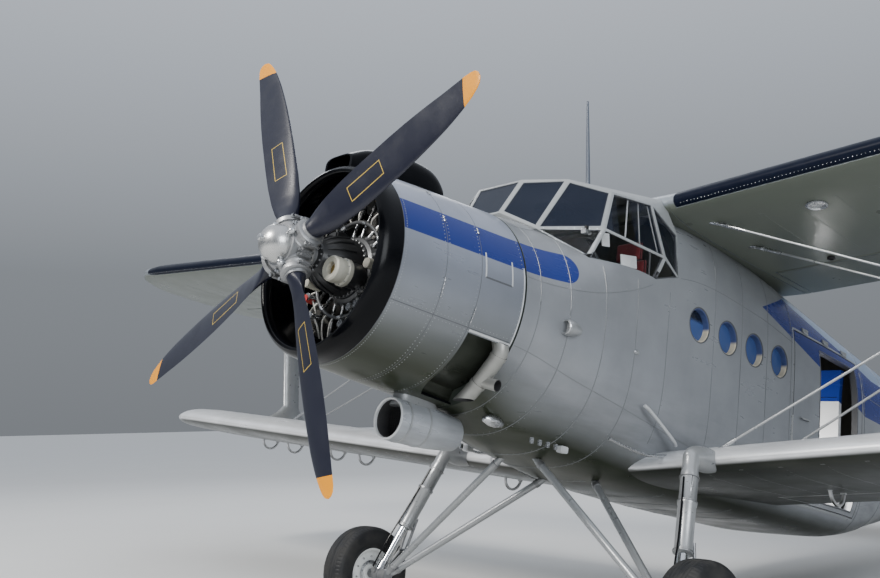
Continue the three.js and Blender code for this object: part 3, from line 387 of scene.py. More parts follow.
# One row per plain paint or metal
# base and second colour, roughness low and high, metal, lacquer, size of its mottling, bump depth
paintTable = {
    "gloss black paint": ((0.0015, 0.0017, 0.0024), (0.003, 0.0033, 0.0045), 0.16, 0.28, 0.0, 0.0, 9, 0.0003),
    # near black: the own colour of dial faces, the coaming and the seat piping, and painted shade inside
    # hollows: the oil cooler and its core, the wheels' bolt holes, and the exhaust's bore along with its soot
    "dark trim and hollow shade": ((0.012, 0.012, 0.013), (0.03, 0.03, 0.032), 0.7, 0.9, 0.0, 0.0, 20, 0.0006),
    "white paint": ((0.72, 0.73, 0.72), (0.60, 0.61, 0.60), 0.22, 0.36, 0.0, 0.4, 14, 0.0003),
    "window frame paint": ((0.30, 0.315, 0.32), (0.22, 0.23, 0.235), 0.30, 0.45, 0.1, 0.2, 22, 0.0004),
    "bright steel": ((0.56, 0.57, 0.58), (0.40, 0.41, 0.42), 0.18, 0.34, 0.95, 0.0, 40, 0.0002),
    "hub steel": ((0.36, 0.365, 0.375), (0.17, 0.172, 0.175), 0.38, 0.58, 0.80, 0.0, 18, 0.0004),
    "piston chrome": ((0.70, 0.71, 0.72), (0.58, 0.59, 0.60), 0.06, 0.14, 1.0, 0.0, 30, 0.0001),
    "strut silver": ((0.33, 0.34, 0.35), (0.24, 0.25, 0.255), 0.24, 0.40, 0.45, 0.2, 16, 0.0003),
    "gear case paint": ((0.026, 0.027, 0.029), (0.014, 0.0145, 0.015), 0.35, 0.55, 0.2, 0.1, 15, 0.0006),
    "governor paint": ((0.50, 0.49, 0.42), (0.30, 0.285, 0.235), 0.38, 0.58, 0.15, 0.1, 22, 0.0006),
    "crankcase paint": ((0.10, 0.105, 0.11), (0.05, 0.05, 0.052), 0.35, 0.6, 0.35, 0.1, 18, 0.0007),
    "cylinder steel": ((0.11, 0.108, 0.105), (0.05, 0.048, 0.046), 0.38, 0.62, 0.6, 0.0, 26, 0.0005),
    "finned alloy": ((0.34, 0.335, 0.32), (0.17, 0.165, 0.155), 0.38, 0.6, 0.6, 0.0, 24, 0.0005),
    "harness braid": ((0.66, 0.65, 0.61), (0.40, 0.39, 0.36), 0.35, 0.55, 0.3, 0.0, 160, 0.0006),
    "red paint": ((0.42, 0.03, 0.025), (0.26, 0.02, 0.02), 0.3, 0.5, 0.0, 0.2, 30, 0.0003),
    "exhaust steel": ((0.36, 0.36, 0.34), (0.20, 0.197, 0.18), 0.34, 0.55, 0.45, 0.0, 12, 0.0006),
    "instrument panel paint": ((0.06, 0.062, 0.066), (0.04, 0.042, 0.045), 0.5, 0.7, 0.0, 0.0, 60, 0.0003),
    "floor plate": ((0.20, 0.205, 0.21), (0.10, 0.10, 0.105), 0.45, 0.75, 0.3, 0.0, 14, 0.0006),
    "cabin lining": ((0.10, 0.098, 0.09), (0.07, 0.069, 0.064), 0.6, 0.8, 0.0, 0.0, 16, 0.0006),
    "cockpit lining": ((0.050, 0.062, 0.050), (0.032, 0.040, 0.033), 0.55, 0.75, 0.0, 0.0, 16, 0.0006),
    "green lens": ((0.01, 0.22, 0.07), (0.008, 0.15, 0.05), 0.08, 0.16, 0.0, 0.8, 30, 0.0002),
    # pale paint: its own colour on the plates under the belly; on the cowling's strips, hatch edges and the
    # cooler's mouth rim it is a painted highlight
    "pale trim and edge highlight": ((0.62, 0.63, 0.64), (0.48, 0.49, 0.50), 0.25, 0.4, 0.3, 0.2, 40, 0.0002),
    "mast paint": ((0.075, 0.090, 0.120), (0.050, 0.060, 0.080), 0.35, 0.5, 0.1, 0.0, 30, 0.0003),
    "lap edge": ((0.20, 0.21, 0.22), (0.15, 0.156, 0.163), 0.35, 0.5, 0.3, 0.1, 60, 0.0002),
    "cockpit card": ((0.86, 0.88, 0.88), (0.74, 0.76, 0.76), 0.5, 0.7, 0.0, 0.0, 30, 0.0002),
    "seam sealant": ((0.10, 0.105, 0.115), (0.06, 0.062, 0.068), 0.5, 0.75, 0.2, 0.0, 60, 0.0002),
    "brass fitting": ((0.45, 0.33, 0.12), (0.26, 0.18, 0.07), 0.3, 0.5, 0.9, 0.0, 50, 0.0003),
}
dimmed = {"gloss black paint": 0.12}      # paints that mirror less than the others
paints = {}
for name, (base, second, smooth, rough, metal, lacquer, size, depth) in paintTable.items():
    finish = Finish(name)
    mottle = finish.noise(size, 6)
    worn = finish.spreadOut(finish.noise(size * 0.23, 3), 0.35, 0.75)
    grain = finish.noise(size * 9, 2, point=finish.position)
    paints[name] = finish.surface(
        baseColor=finish.blendColour(mottle * 0.6 + worn * 0.4, base, second),
        roughness=finish.spreadOut(mottle, 0.25, 0.75, smooth, rough),
        metallic=metal,
        coatWeight=lacquer,
        coatRoughness=0.08,
        specularIORLevel=dimmed.get(name, 0.5),
        normal=finish.bump(grain, depth, 0.5),
    )

# The silver dope and lacquer, with the blue flash of the nose and the broad aft band
silver = {
    "light": (0.300, 0.314, 0.335),
    "dull": 0.76,      # share of the light colour left where the finish has dulled
    "grime": (0.085, 0.088, 0.078),
    "blue": (0.009, 0.023, 0.150),
    "metal": 0.40,
    "roughness": (0.24, 0.40),
    # painted shade on the belly: how far a face looks down where the shade sets in and where it is full, and
    # its colour
    "belly": (0.52, 0.86, (0.016, 0.021, 0.010)),
    # painted sky reflection on the top of the fuselage behind the wing
    "spine": (0.27, 0.35, 0.48),       # above the broad band
    # flash on the nose: where it starts and ends, height and half height at the front, how much
    # they grow aft, and how its middle line bends up behind a station
    "flash": {"front": 0.372, "end": 2.00, "origin": 0.37, "height": 0.285, "half": 0.111, "rise": 0.022,
              "widen": 0.004, "bendFrom": 1.2, "bend": 0.05, "roundness": 0.12},
    # broad aft band: station and height on its lower and upper edge, slope, least height aft
    "bandLow": (4.47, 0.75, 0.277, 0.16),
    "bandHigh": (4.96, 0.97, 0.192, 0.60),
}


def silverFinish(name, flash=False, band=False, fabric=False, light=None, under=None, fade=None, belly=False):
    # under: painted shade, the colour given to faces of a wing's underside that look down; the second colour
    # towards the bottom is painted shade as well
    finish = Finish(name)
    x, y, z = finish.axes()
    cloud = finish.noise(1.7, 5)
    streak = finish.noise(2.2, 4, stretch=(1.0, 1.0, 7.0))
    spots = finish.spreadOut(finish.noise(13, 6, 0.7), 0.62, 0.95)
    paint = shaded = None
    light = light or silver["light"]
    base = finish.blendColour(finish.spreadOut(cloud, 0.3, 0.7), light,
                              tuple(silver["dull"] * part for part in light))
    # painted shade: darker towards the bottom
    if fade:
        base = finish.blendColour(finish.spreadOut(z, 0.35, -0.70), base, fade)
    # painted shade: faces that look down are darkened towards a near-black colour
    if belly:
        first, full, dark = silver["belly"]
        shaded = finish.spreadOut(finish.facingDown(), first, full)
        base = finish.blendColour(shaded, base, dark)
    # painted shade on a wing's underside, where faces look down
    if under:
        shaded = finish.spreadOut(finish.facingDown(), 0.45, 0.80)
        base = finish.blendColour(shaded, base, under)
    sides = finish.spreadOut(z, -0.2, -1.15)
    dirt = sides * finish.spreadOut(streak, 0.4, 0.8) * 0.55 + spots * 0.06
    colour = finish.blendColour(dirt, base, silver["grime"])
    if flash:
        # between two lines that spread aft, with a round end
        mark = silver["flash"]
        late = y.calc("MAXIMUM", y, mark["bendFrom"]) - mark["bendFrom"]
        run = y - mark["origin"]
        off = z - (mark["height"] + run * mark["rise"] + late * late * mark["bend"])
        half = mark["half"] + run * mark["widen"]
        past = y - (mark["end"] - mark["roundness"])
        past = past.calc("MAXIMUM", past, 0.0)
        paint = (half * half - (past * past + off * off)).above(0, 0.0008) * y.above(mark["front"], 0.001)
    if band:
        low, high = silver["bandLow"], silver["bandHigh"]
        edges = []
        for station, height, slope, least in (low, high):
            line = height - (y - station) * slope
            edges.append(line.calc("MAXIMUM", line, least))
        front = (high[0] - low[0]) / (high[1] - low[1])
        start = (y - low[0] - (z - low[1]) * front).above(0, 0.002)
        # painted sky reflection: a light blue over the top, above the band's upper edge
        colour = finish.blendColour((z - edges[1]).above(0, 0.002) * start, colour, silver["spine"])
        inBand = (z - edges[0]).above(0, 0.002) * (edges[1] - z).above(0, 0.002) * start
        paint = inBand if paint is None else paint + inBand
    if paint is not None:
        colour = finish.blendColour(paint, colour, silver["blue"])
    metal = silver["metal"]
    for cover in (paint, shaded):
        if cover is not None:
            metal = (1 - cover) * metal
    smooth, rough = silver["roughness"]
    roughness = finish.spreadOut(cloud * 0.5 + streak * 0.5, 0.3, 0.7, smooth, rough) + dirt * 0.2
    if paint is not None:
        roughness = roughness - paint * 0.08
    fine = finish.noise(240 if fabric else 60, 3, point=finish.position)
    waves = finish.noise(3.2, 2)
    normal = finish.bump(fine, 0.0004 if fabric else 0.00015, 0.5, finish.bump(waves, 0.004, 0.35))
    return finish.surface(
        baseColor=colour, metallic=metal, roughness=roughness, normal=normal,
        specularIORLevel=0.2, coatWeight=0.12, coatRoughness=0.12,
    )


def splitFinish(name, height, blur, over, beneath):
    # one colour over a height and another beneath it; both uses paint sunlight and shade, on the doorway's
    # edges and the window reveals
    finish = Finish(name)
    x, y, z = finish.axes()
    mottle = finish.noise(18, 5)
    colour = finish.blendColour(z.above(height, blur), beneath, over)
    return finish.surface(
        baseColor=finish.blendColour(mottle * 0.3, colour, (0.03, 0.03, 0.032)),
        roughness=finish.spreadOut(mottle, 0.25, 0.75, 0.45, 0.62),
    )


# the fuselage's belly is darkened as painted shade, and its top aft of the wing turns light blue as painted sky
# reflection
silverSkin = silverFinish("silver skin, shaded belly and sky on top", flash=True, band=True, belly=True)
# the cowling is darker towards the bottom and on faces that look down, both painted shade
cowlSkin = silverFinish("cowling skin, shaded low", flash=True, light=(0.300, 0.326, 0.395), fade=(0.130, 0.135, 0.120),
                        belly=True)
# the underside is painted shade in a dark olive
upperSkinShadedBelow = silverFinish("upper wing fabric, shaded underside", fabric=True, light=(0.28, 0.31, 0.34),
                         under=(0.118, 0.132, 0.108))
# the lower wing's top is painted near white as painted sunlight, and its underside near black as painted shade
lowerSkinSunAndShade = silverFinish("lower wing fabric, sunlit top and shaded underside", fabric=True, light=(0.82, 0.83, 0.85),
                         under=(0.010, 0.013, 0.008))
tailSkin = silverFinish("tail fabric", fabric=True, light=(0.27, 0.29, 0.31))
doorSkin = silverFinish("door skin", band=True)
# the doorway's edges: near black above a height as painted shadow, near white beneath it as painted sunlight
jambShadowAndSun = splitFinish("doorway edges, shadow above and sun below", -0.12, 0.004, (0.012, 0.014, 0.018), (0.78, 0.79, 0.80))
# the open leaf's silver is painted far lighter than the rest, painted sunlight
sunlitLeafSkin = silverFinish("door leaf skin, painted sunlit", band=True, light=(0.80, 0.81, 0.82))

# Blade paint: navy black with orange yellow tips and plain outlined panels
bladePaint = {
    "base": (0.007, 0.008, 0.017),
    "worn": (0.050, 0.050, 0.055),
    "tip": (0.62, 0.235, 0.001),
    "tipStart": 1.655,
    "slant": 0.35,
    "panelLine": (0.55, 0.38, 0.06),
    "phase": -26.5,
}


def bladeFinish(index):
    finish = Finish(f"blade paint {index + 1}")
    angle = math.radians(bladePaint["phase"] + 90 * index)
    x, y, z = finish.axes()
    out = x * math.sin(angle) + z * math.cos(angle)
    across = x * math.cos(angle) - z * math.sin(angle)
    speckle = finish.spreadOut(finish.noise(42, 8, 0.75), 0.56, 0.74)
    rub = finish.spreadOut(finish.noise(5, 4), 0.45, 0.8)
    colour = finish.blendColour(speckle * rub * 0.8, bladePaint["base"], bladePaint["worn"])
    box = out.between(0.62, 0.93, 0.001) * across.between(-0.052, 0.052, 0.001)
    inside = out.between(0.625, 0.925, 0.001) * across.between(-0.047, 0.047, 0.001)
    colour = finish.blendColour((box - inside) * 0.75, colour, bladePaint["panelLine"])
    tip = (out + across * bladePaint["slant"]).above(bladePaint["tipStart"], 0.002)
    colour = finish.blendColour(tip, colour, bladePaint["tip"])
    return finish.surface(
        baseColor=colour,
        roughness=finish.spreadOut(rub, 0, 1, 0.30, 0.46),
        metallic=0.0,
        specularIORLevel=0.35,
        coatWeight=0.04,
        coatRoughness=0.2,
        normal=finish.bump(speckle, 0.0003, 0.5),
    )


tread = Finish("tyre rubber")
dust = tread.spreadOut(tread.noise(9, 6), 0.4, 0.75)
tyreRubber = tread.surface(
    specularIORLevel=0.3,
    baseColor=tread.blendColour(dust * 0.6, (0.011, 0.0115, 0.013), (0.050, 0.048, 0.044)),
    roughness=tread.spreadOut(dust, 0, 1, 0.55, 0.85),
    normal=tread.bump(tread.noise(180, 3, point=tread.position), 0.0006, 0.6),
)

cloth = Finish("seat cloth")
weave = cloth.node("ShaderNodeTexVoronoi", {}, {"Vector": cloth.position, "Scale": 420.0})
seatCloth = cloth.surface(
    baseColor=cloth.blendColour(cloth.noise(30), (0.24, 0.022, 0.024), (0.13, 0.012, 0.015)),
    roughness=cloth.spreadOut(cloth.noise(60), 0.3, 0.7, 0.7, 0.9),
    sheenWeight=0.35,
    normal=cloth.bump(weave, 0.0005, 0.7),
)

glassFacts = {
    "tint": (0.006, 0.010, 0.022),
    "sideClear": 0.30,      # how far the canopy's side panes hide what is behind them
    "sillClear": 0.10,
    "open": (2.365, 2.530),      # the slid-back part of the side windows
    # painted sky reflection in blue, on the lower part of the first cabin windows and over the whole of the
    # panes aft of them
    "paintedSkyBlue": (0.050, 0.095, 0.26),      # on the lower part of the cabin windows
}


def glassFinish(name, clear, canopyPane=False):
    finish = Finish(name)
    x, y, z = finish.axes()
    film = finish.spreadOut(finish.noise(3, 5), 0.4, 0.8)
    colour = finish.blendColour(film * 0.5, glassFacts["tint"], (0.020, 0.026, 0.040))
    cover = finish.spreadOut(film, 0, 1, clear, clear + 0.08)
    if canopyPane:
        beside = y.above(2.30, 0.01)
        # under the line of the side rail, which rises to the quarter post and falls behind it
        rail = (y * 0.2024 + 0.3007).calc("MINIMUM", y * 0.2024 + 0.3007, 0.935 - y * 0.0866)
        below = (rail - z).above(0.0, 0.01)
        cover = cover * (1 - beside * (1 - glassFacts["sideClear"]))
        cover = cover * (1 - below * (1 - glassFacts["sillClear"]))
        cover = cover * (1 - y.between(*glassFacts["open"], 0.004) * z.between(0.74, 1.10, 0.01))
    else:
        # painted sky reflection: blue below a height, and over the whole of each pane aft of the first window
        lower = z.below(fuselage["windowHeight"] + 0.045, 0.03) + y.above(3.7, 0.01)
        colour = finish.blendColour(lower.calc("MINIMUM", lower, 1.0), colour, glassFacts["paintedSkyBlue"])
    return finish.surface(
        baseColor=colour,
        roughness=finish.spreadOut(film, 0, 1, 0.02, 0.09),
        alpha=cover,
        specularIORLevel=0.3,
        coatWeight=0.0,
    )


canopyGlass = glassFinish("canopy glass", 0.72, canopyPane=True)
print("finishes ready")


# Fuselage skin: nose, cabin and tail boom as one loft, with its openings cut
fuselage = {
    # station, half width, top, bottom, height of the widest line, squareness above, below
    "stations": [
        (1.475, 0.770, 0.770, -0.770, 0.0, 2.0, 2.0),
        (2.080, 0.852, 0.896, -0.945, 0.0, 2.15, 2.3),
        (2.600, 0.882, 1.060, -1.015, 0.0, 3.0, 2.7),
        (3.150, 0.890, 1.235, -1.075, 0.0, 4.6, 3.2),
        (4.300, 0.890, 1.240, -1.100, 0.0, 4.8, 4.6),
        (5.300, 0.890, 1.170, -1.100, 0.0, 3.8, 5.0),
        (6.500, 0.872, 1.060, -1.085, 0.0, 3.1, 4.6),
        (7.600, 0.778, 0.985, -0.900, 0.040, 2.8, 2.9),
        (9.000, 0.585, 0.880, -0.560, 0.140, 2.5, 2.5),
        (10.400, 0.360, 0.765, -0.190, 0.270, 2.3, 2.2),
        (11.380, 0.150, 0.690, 0.040, 0.360, 2.1, 2.1),
    ],
    "wall": 0.060,
    "points": 96,
    "boomStart": 7.2,      # station of the joint between cabin and tail boom
    "hollow": (2.23, 7.12, -0.93, 1.36),      # front, rear, floor and roof of the space inside
    # front, rear, sill and head
    "door": (5.060, 6.520, -0.880, 0.690),
    "passengerDoor": (5.590, 6.400, -0.820, 0.600),
    "doorGap": 0.009,
    "windowHeight": 0.310,
    "windowRadius": 0.145,
    "portWindows": (3.46, 3.90, 4.34, 4.78),
    "starboardWindows": (3.46, 3.90, 4.34, 4.78, 5.22, 5.66),
    "doorSwing": (0.742, 88),      # side of the passenger door's hinge line, and how far it stands open
}


def stationFigures(station):
    rows = fuselage["stations"]
    i = max(1, next((n for n, row in enumerate(rows) if row[0] >= station), len(rows) - 1))
    t0, t1 = rows[i - 1][0], rows[i][0]
    before = rows[i - 2] if i > 1 else (2 * t0 - t1, *rows[i][1:])
    after = rows[i + 1] if i + 1 < len(rows) else (2 * t1 - t0, *rows[i - 1][1:])
    half = (t1 - t0) / 2
    wp, wn = half / (t0 - before[0]), half / (after[0] - t1)
    p = (station - t0) / (t1 - t0)
    weights = (
        -wp * p ** 3 + 2 * wp * p ** 2 - wp * p,
        (1 + wp) * p ** 3 + (-1.5 - 2 * wp) * p ** 2 + (-0.5 + wp) * p + 1,
        (-1 - wn) * p ** 3 + (1.5 + wn) * p ** 2 + 0.5 * p,
        wn * p ** 3 - wn * p ** 2,
    )
    sources = (before, rows[i - 1], rows[i], after)
    return [sum(w * row[k] for w, row in zip(weights, sources)) for k in range(1, 7)]


def fuselageRing(station, inset=0.0, count=None):
    halfWidth, top, bottom, middle, above, below = stationFigures(station)
    count = count or fuselage["points"]
    angles = np.arange(count) * 2 * math.pi / count
    side, rise = np.cos(angles), np.sin(angles)
    power = np.where(rise >= 0, 2 / above, 2 / below)
    height = np.where(rise >= 0, top - middle, middle - bottom) - inset
    return np.stack([
        (halfWidth - inset) * np.sign(side) * np.abs(side) ** power,
        np.full(len(angles), station),
        middle + height * np.sign(rise) * np.abs(rise) ** power,
    ], axis=1)


def barCutter(start, end, radius, sides=48):
    return Form().tube([start, end], radius, sides).solid()


def blockCutter(low, high):
    return Form().block(low, high).solid()


def fuselageLoft(start, stop, steps, inset=0.0):
    return Form().loft([fuselageRing(y, inset) for y in spread(start, stop, steps)]).solid()


def cabinRoom():
    # what wings, wires and legs give up to the cabin
    return fuselageLoft(2.0, 6.9, 40, -0.0006)


def boomRoom():
    return fuselageLoft(9.6, 11.38, 24, -0.0006)


def moved(thing, *shift):
    thing.data.transform(Matrix.Translation(shift))
    return thing


# Wing sections
def thicknessAt(f, ratio):
    return 5 * ratio * (0.2969 * np.sqrt(f) - 0.126 * f - 0.3516 * f ** 2 + 0.2843 * f ** 3 - 0.1036 * f ** 4)


def camberAt(f, camber, peak=0.4):
    front = camber / peak ** 2 * (2 * peak * f - f ** 2)
    rear = camber / (1 - peak) ** 2 * (1 - 2 * peak + 2 * peak * f - f ** 2)
    return np.where(f < peak, front, rear)


def ribRing(span, leading, trailing, ratio, camber, steps=30, grow=0.0, sag=0.0):
    f = (1 - np.cos(math.pi * np.arange(steps + 1) / steps)) / 2
    chord = trailing - leading
    half = thicknessAt(f, ratio) * chord + 0.003 * f + grow
    half = half - sag * np.clip((f - 0.16) / 0.1, 0, 1) * np.clip((0.97 - f) / 0.1, 0, 1)
    line = camberAt(f, camber) * chord
    y = leading + f * chord + (2 * f - 1) * grow
    upper = np.stack([np.full(steps + 1, span), y, line + half], axis=1)
    lower = np.stack([np.full(steps + 1, span), y, line - half], axis=1)
    return np.vstack([upper[::-1], lower[0 if grow else 1:]])


wings = {
    "ratio": 0.14,
    "camber": 0.03,
    "hingeShare": 0.72,
    "ribPitch": 0.31,
    "sag": 0.0022,
    "upper": {"leading": 3.000, "height": 1.214, "dihedral": 4.0, "incidence": 3.0, "chord": 2.400,
              "half": 9.090},
    "lower": {"leading": 3.030, "height": -0.981, "dihedral": 4.9, "incidence": 1.0, "chord": 2.000,
              "half": 7.120},
    "upperTip": [(-0.900, 0, 0), (-0.500, 0.045, 0.030), (-0.240, 0.160, 0.110), (-0.070, 0.370, 0.260),
                 (0, 0.680, 0.520)],
    "lowerTip": [(-0.750, 0, 0), (-0.420, 0.040, 0.030), (-0.200, 0.140, 0.100), (-0.060, 0.310, 0.230),
                 (0, 0.570, 0.440)],
    "root": {"upper": 0.8003, "lower": 0.600},
}


def wingFrame(which, side=1, level=False):
    spec = wings[which]
    lift = spec["height"] + (0.8 * math.tan(math.radians(spec["dihedral"])) if level else 0)
    place = Matrix.Translation((0, spec["leading"], lift))
    if not level:
        place = place @ Matrix.Rotation(-math.radians(spec["dihedral"]), 4, "Y")
    place = place @ Matrix.Rotation(-math.radians(spec["incidence"]), 4, "X")
    return Matrix.Scale(side, 4, (1, 0, 0)) @ place


def wingPlan(which):
    # span stations with leading and trailing edges, close together so that fabric can sag between ribs
    spec = wings[which]
    tip = [(spec["half"] + s, lead, spec["chord"] - trail) for s, lead, trail in wings[which + "Tip"]]
    spans = list(np.arange(wings["root"][which], tip[0][0] - 0.02, wings["ribPitch"] / 4))
    spans += [tip[0][0] + t for t in (0, 0.14, 0.27)]
    spans += [tip[i][0] + (tip[i + 1][0] - tip[i][0]) * t for i in range(1, 4) for t in (0, 0.25, 0.5, 0.75)]
    spans.append(tip[-1][0])
    columns = list(zip(*([(0, 0, spec["chord"])] + tip)))
    rows = []
    for span in spans:
        rows.append((span, float(np.interp(span, *columns[0:2])),
                     float(np.interp(span, columns[0], columns[2]))))
    return rows


def wingSolid(which, grow=0.0, steps=30):
    rings = []
    for n, (span, leading, trailing) in enumerate(wingPlan(which)):
        between = math.sin(math.pi * ((span - wings["root"][which]) / wings["ribPitch"] % 1)) ** 2
        sag = wings["sag"] * between if span < wings[which]["half"] - 0.9 and not grow else 0
        rings.append(ribRing(span, leading, trailing, wings["ratio"], wings["camber"], steps, grow, sag))
    return Form().loft(rings).solid()


def placedSolid(thing, matrix):
    thing.data.transform(matrix)
    if matrix.determinant() < 0:
        thing.data.flip_normals()
    return thing


# Centre section and what the fuselage gives way to
def centreSlab(grow):
    chord = wings["upper"]["chord"]
    rings = [ribRing(x, 0, chord, wings["ratio"], wings["camber"], 30, grow) for x in (-0.8 - grow, 0.8 + grow)]
    return placedSolid(Form().loft(rings).solid(), wingFrame("upper", 1, True))


def hullSolid(points):
    work = bmesh.new()
    for point in points:
        work.verts.new(point)
    bmesh.ops.convex_hull(work, input=work.verts[:])
    loose = [vertex for vertex in work.verts if not vertex.link_faces]
    bmesh.ops.delete(work, geom=loose, context="VERTS")
    bmesh.ops.dissolve_limit(work, angle_limit=0.001, verts=work.verts[:], edges=work.edges[:])
    mesh = bpy.data.meshes.new("hull")
    work.to_mesh(mesh)
    work.free()
    return linked("hull", mesh)


canopy = {
    "corners": {
        "screenTopInner": (0.235, 1.845, 1.135),
        "screenTopOuter": (0.540, 2.045, 1.155),
        "screenBaseInner": (0.205, 1.670, 0.800),
        "screenBaseOuter": (0.508, 1.775, 0.660),
        "quarterTop": (0.760, 2.325, 1.110),
        "quarterBase": (0.820, 2.195, 0.745),
        "railRear": (0.950, 2.830, 0.690),
        "sillFront": (0.740, 2.140, 0.510),
        "sillMiddle": (0.868, 2.830, 0.515),
        "sillRear": (0.880, 3.120, 0.620),
        "eaveMiddle": (0.800, 2.800, 1.165),
        "eaveRear": (0.840, 3.120, 1.000),
        "roofRearInner": (0.250, 3.040, 1.430),
        "roofRearOuter": (0.740, 3.040, 1.290),
    },
    "centre": (0, 2.50, 0.76),
}


def canopyHull(inset):
    corners = []
    for place in canopy["corners"].values():
        for side in (1, -1):
            corner = Vector(flipped(place, side))
            corners.append(corner + (Vector(canopy["centre"]) - corner).normalized() * inset * 1.3)
    return hullSolid(corners)


def skinWithOpenings():
    front, rear, floor, roof = fuselage["hollow"]
    cutters = [carve(fuselageLoft(front, rear, 40, fuselage["wall"]), [
        blockCutter((-1, front - 0.001, floor), (1, rear + 0.001, roof)),
    ], "INTERSECT")]
    height = fuselage["windowHeight"]
    for side, places in ((1, "portWindows"), (-1, "starboardWindows")):
        for y in fuselage[places]:
            cutters.append(barCutter((side * 0.7, y, height), (side, y, height), fuselage["windowRadius"]))
    front, rear, sill, head = fuselage["door"]
    cutters.append(blockCutter((0.5, front, sill), (1.0, rear, head)))
    cutters.append(canopyHull(-0.0008))
    cutters += [moved(centreSlab(0.0008), 0, 0, lift) for lift in (0, 0.16, 0.30)]
    return carve(fuselageLoft(fuselage["stations"][0][0], fuselage["boomStart"], 72), cutters)


shell = dress(skinWithOpenings(), "fuselage_shell", "airframe", [silverSkin], "fuselage")
dress(fuselageLoft(fuselage["boomStart"] + 0.0003, fuselage["stations"][-1][0], 46), "tail_boom_skin",
      "airframe", [silverSkin], "tail_boom")
print("fuselage skin made")


def openLeaf():
    # turns what belongs to the passenger door from shut to standing open
    x, angle = fuselage["doorSwing"]
    pivot = Matrix.Translation((x, fuselage["passengerDoor"][1] - fuselage["doorGap"], 0))
    return pivot @ Matrix.Rotation(-math.radians(angle), 4, "Z") @ pivot.inverted()


def buildDoors():
    # the freight door with the passenger doorway in it, and the passenger door standing open
    front, rear, sill, head = fuselage["door"]
    gap = fuselage["doorGap"]
    pFront, pRear, pSill, pHead = fuselage["passengerDoor"]
    wall = fuselage["wall"]

    def wallPanel(low, high):
        panel = carve(fuselageLoft(4.9, 6.7, 18), [fuselageLoft(4.8, 6.8, 20, wall)])
        return carve(panel, [blockCutter(low, high)], "INTERSECT")

    freight = wallPanel((0.5, front + gap, sill + gap), (1.0, rear - gap, head - gap))
    carve(freight, [blockCutter((0.5, pFront, pSill), (1.0, pRear, pHead))])
    for polygon in freight.data.polygons:
        polygon.material_index = int(abs(polygon.normal.x) < 0.45)      # the edges of the doorway
    dress(freight, "freight_door_skin", "airframe", [doorSkin, jambShadowAndSun], "freight_door")
    leaf = wallPanel((0.5, pFront + gap, pSill + gap), (1.0, pRear - gap, pHead - gap))
    leaf.data.transform(openLeaf())
    dress(leaf, "passenger_door_skin", "passenger_door", [sunlitLeafSkin], "passenger_door")


buildDoors()
print("doors made")

# Seams, rivets and small screws
def ribbon(form, path, normals, width, height, slot=0, sink=0.002):
    # a flat strip laid on a surface along a path
    path, normals = np.asarray(path, float), np.asarray(normals, float)
    runs = np.gradient(path, axis=0)
    runs /= np.linalg.norm(runs, axis=1)[:, None]
    normals = normals / np.linalg.norm(normals, axis=1)[:, None]
    across = np.cross(runs, normals)
    corners = [(-0.5, -sink), (-0.5, height * 0.6), (-0.4, height), (0.4, height), (0.5, height * 0.6),
               (0.5, -sink)]
    rings = [
        [p + a * width * u + n * h for u, h in corners]
        for p, a, n in zip(path, across, normals)
    ]
    return form.loft(rings, slot)


def studs(form, places, normals, radius, height, slot=0, sides=6):
    # domed rivet heads or hexagonal bolt heads
    for place, normal in zip(places, normals):
        normal = np.asarray(normal, float) / np.linalg.norm(normal)
        side = np.cross(normal, (0.31, 0.87, 0.39))
        side /= np.linalg.norm(side)
        up = np.cross(normal, side)
        angles = np.arange(sides) * 2 * math.pi / sides
        circle = np.outer(np.cos(angles), side) + np.outer(np.sin(angles), up)
        rings = [place + circle * radius * r + normal * h for r, h in ((1, -0.001), (0.86, height * 0.7))]
        points = np.vstack([*rings, [place + normal * height]])
        faces = [(i, (i + 1) % sides, sides + (i + 1) % sides, sides + i) for i in range(sides)]
        faces += [(sides + i, sides + (i + 1) % sides, 2 * sides) for i in range(sides)]
        form.add(points, faces, slot)
    return form


# Ring cowling
cowl = {
    # radius, station
    "outer": [(0.642, 0.205), (0.668, 0.228), (0.686, 0.275), (0.6955, 0.371), (0.700, 0.420), (0.722, 0.720),
              (0.746, 1.100), (0.768, 1.460)],
    "inner": [(0.752, 1.460), (0.722, 1.100), (0.698, 0.720), (0.674, 0.420), (0.640, 0.320), (0.612, 0.262),
              (0.620, 0.215)],
    "sides": 180,
    "lip": 0.371,      # station where the black lip ends
    "bay": {"front": 1.065, "angles": (118, 168)},
    "liner": {"depth": 0.085, "rear": 1.50},
    "ringSeams": (0.372, 0.735, 1.045),
    "longSeams": (115.5, -115.5, 22, -22),
    "hatch": {"stations": (1.085, 1.335), "angles": (73, 87)},
}
cowlStations = [y for r, y in cowl["outer"]]
cowlRadii = [r for r, y in cowl["outer"]]


def cowlPoint(angle, station, proud=0.0):
    # angle from the top centre towards port
    return around(float(np.interp(station, cowlStations, cowlRadii)) + proud, station, angle)


def cowlNormal(angle):
    return around(1, -0.05, angle)


def cowlBlank(grow):
    # the cowling's outside as one full solid
    return Form().lathe([(0.0, 0.20), *[(r + grow, y) for r, y in cowl["outer"]], (0.0, 1.46)],
                        cowl["sides"]).solid()


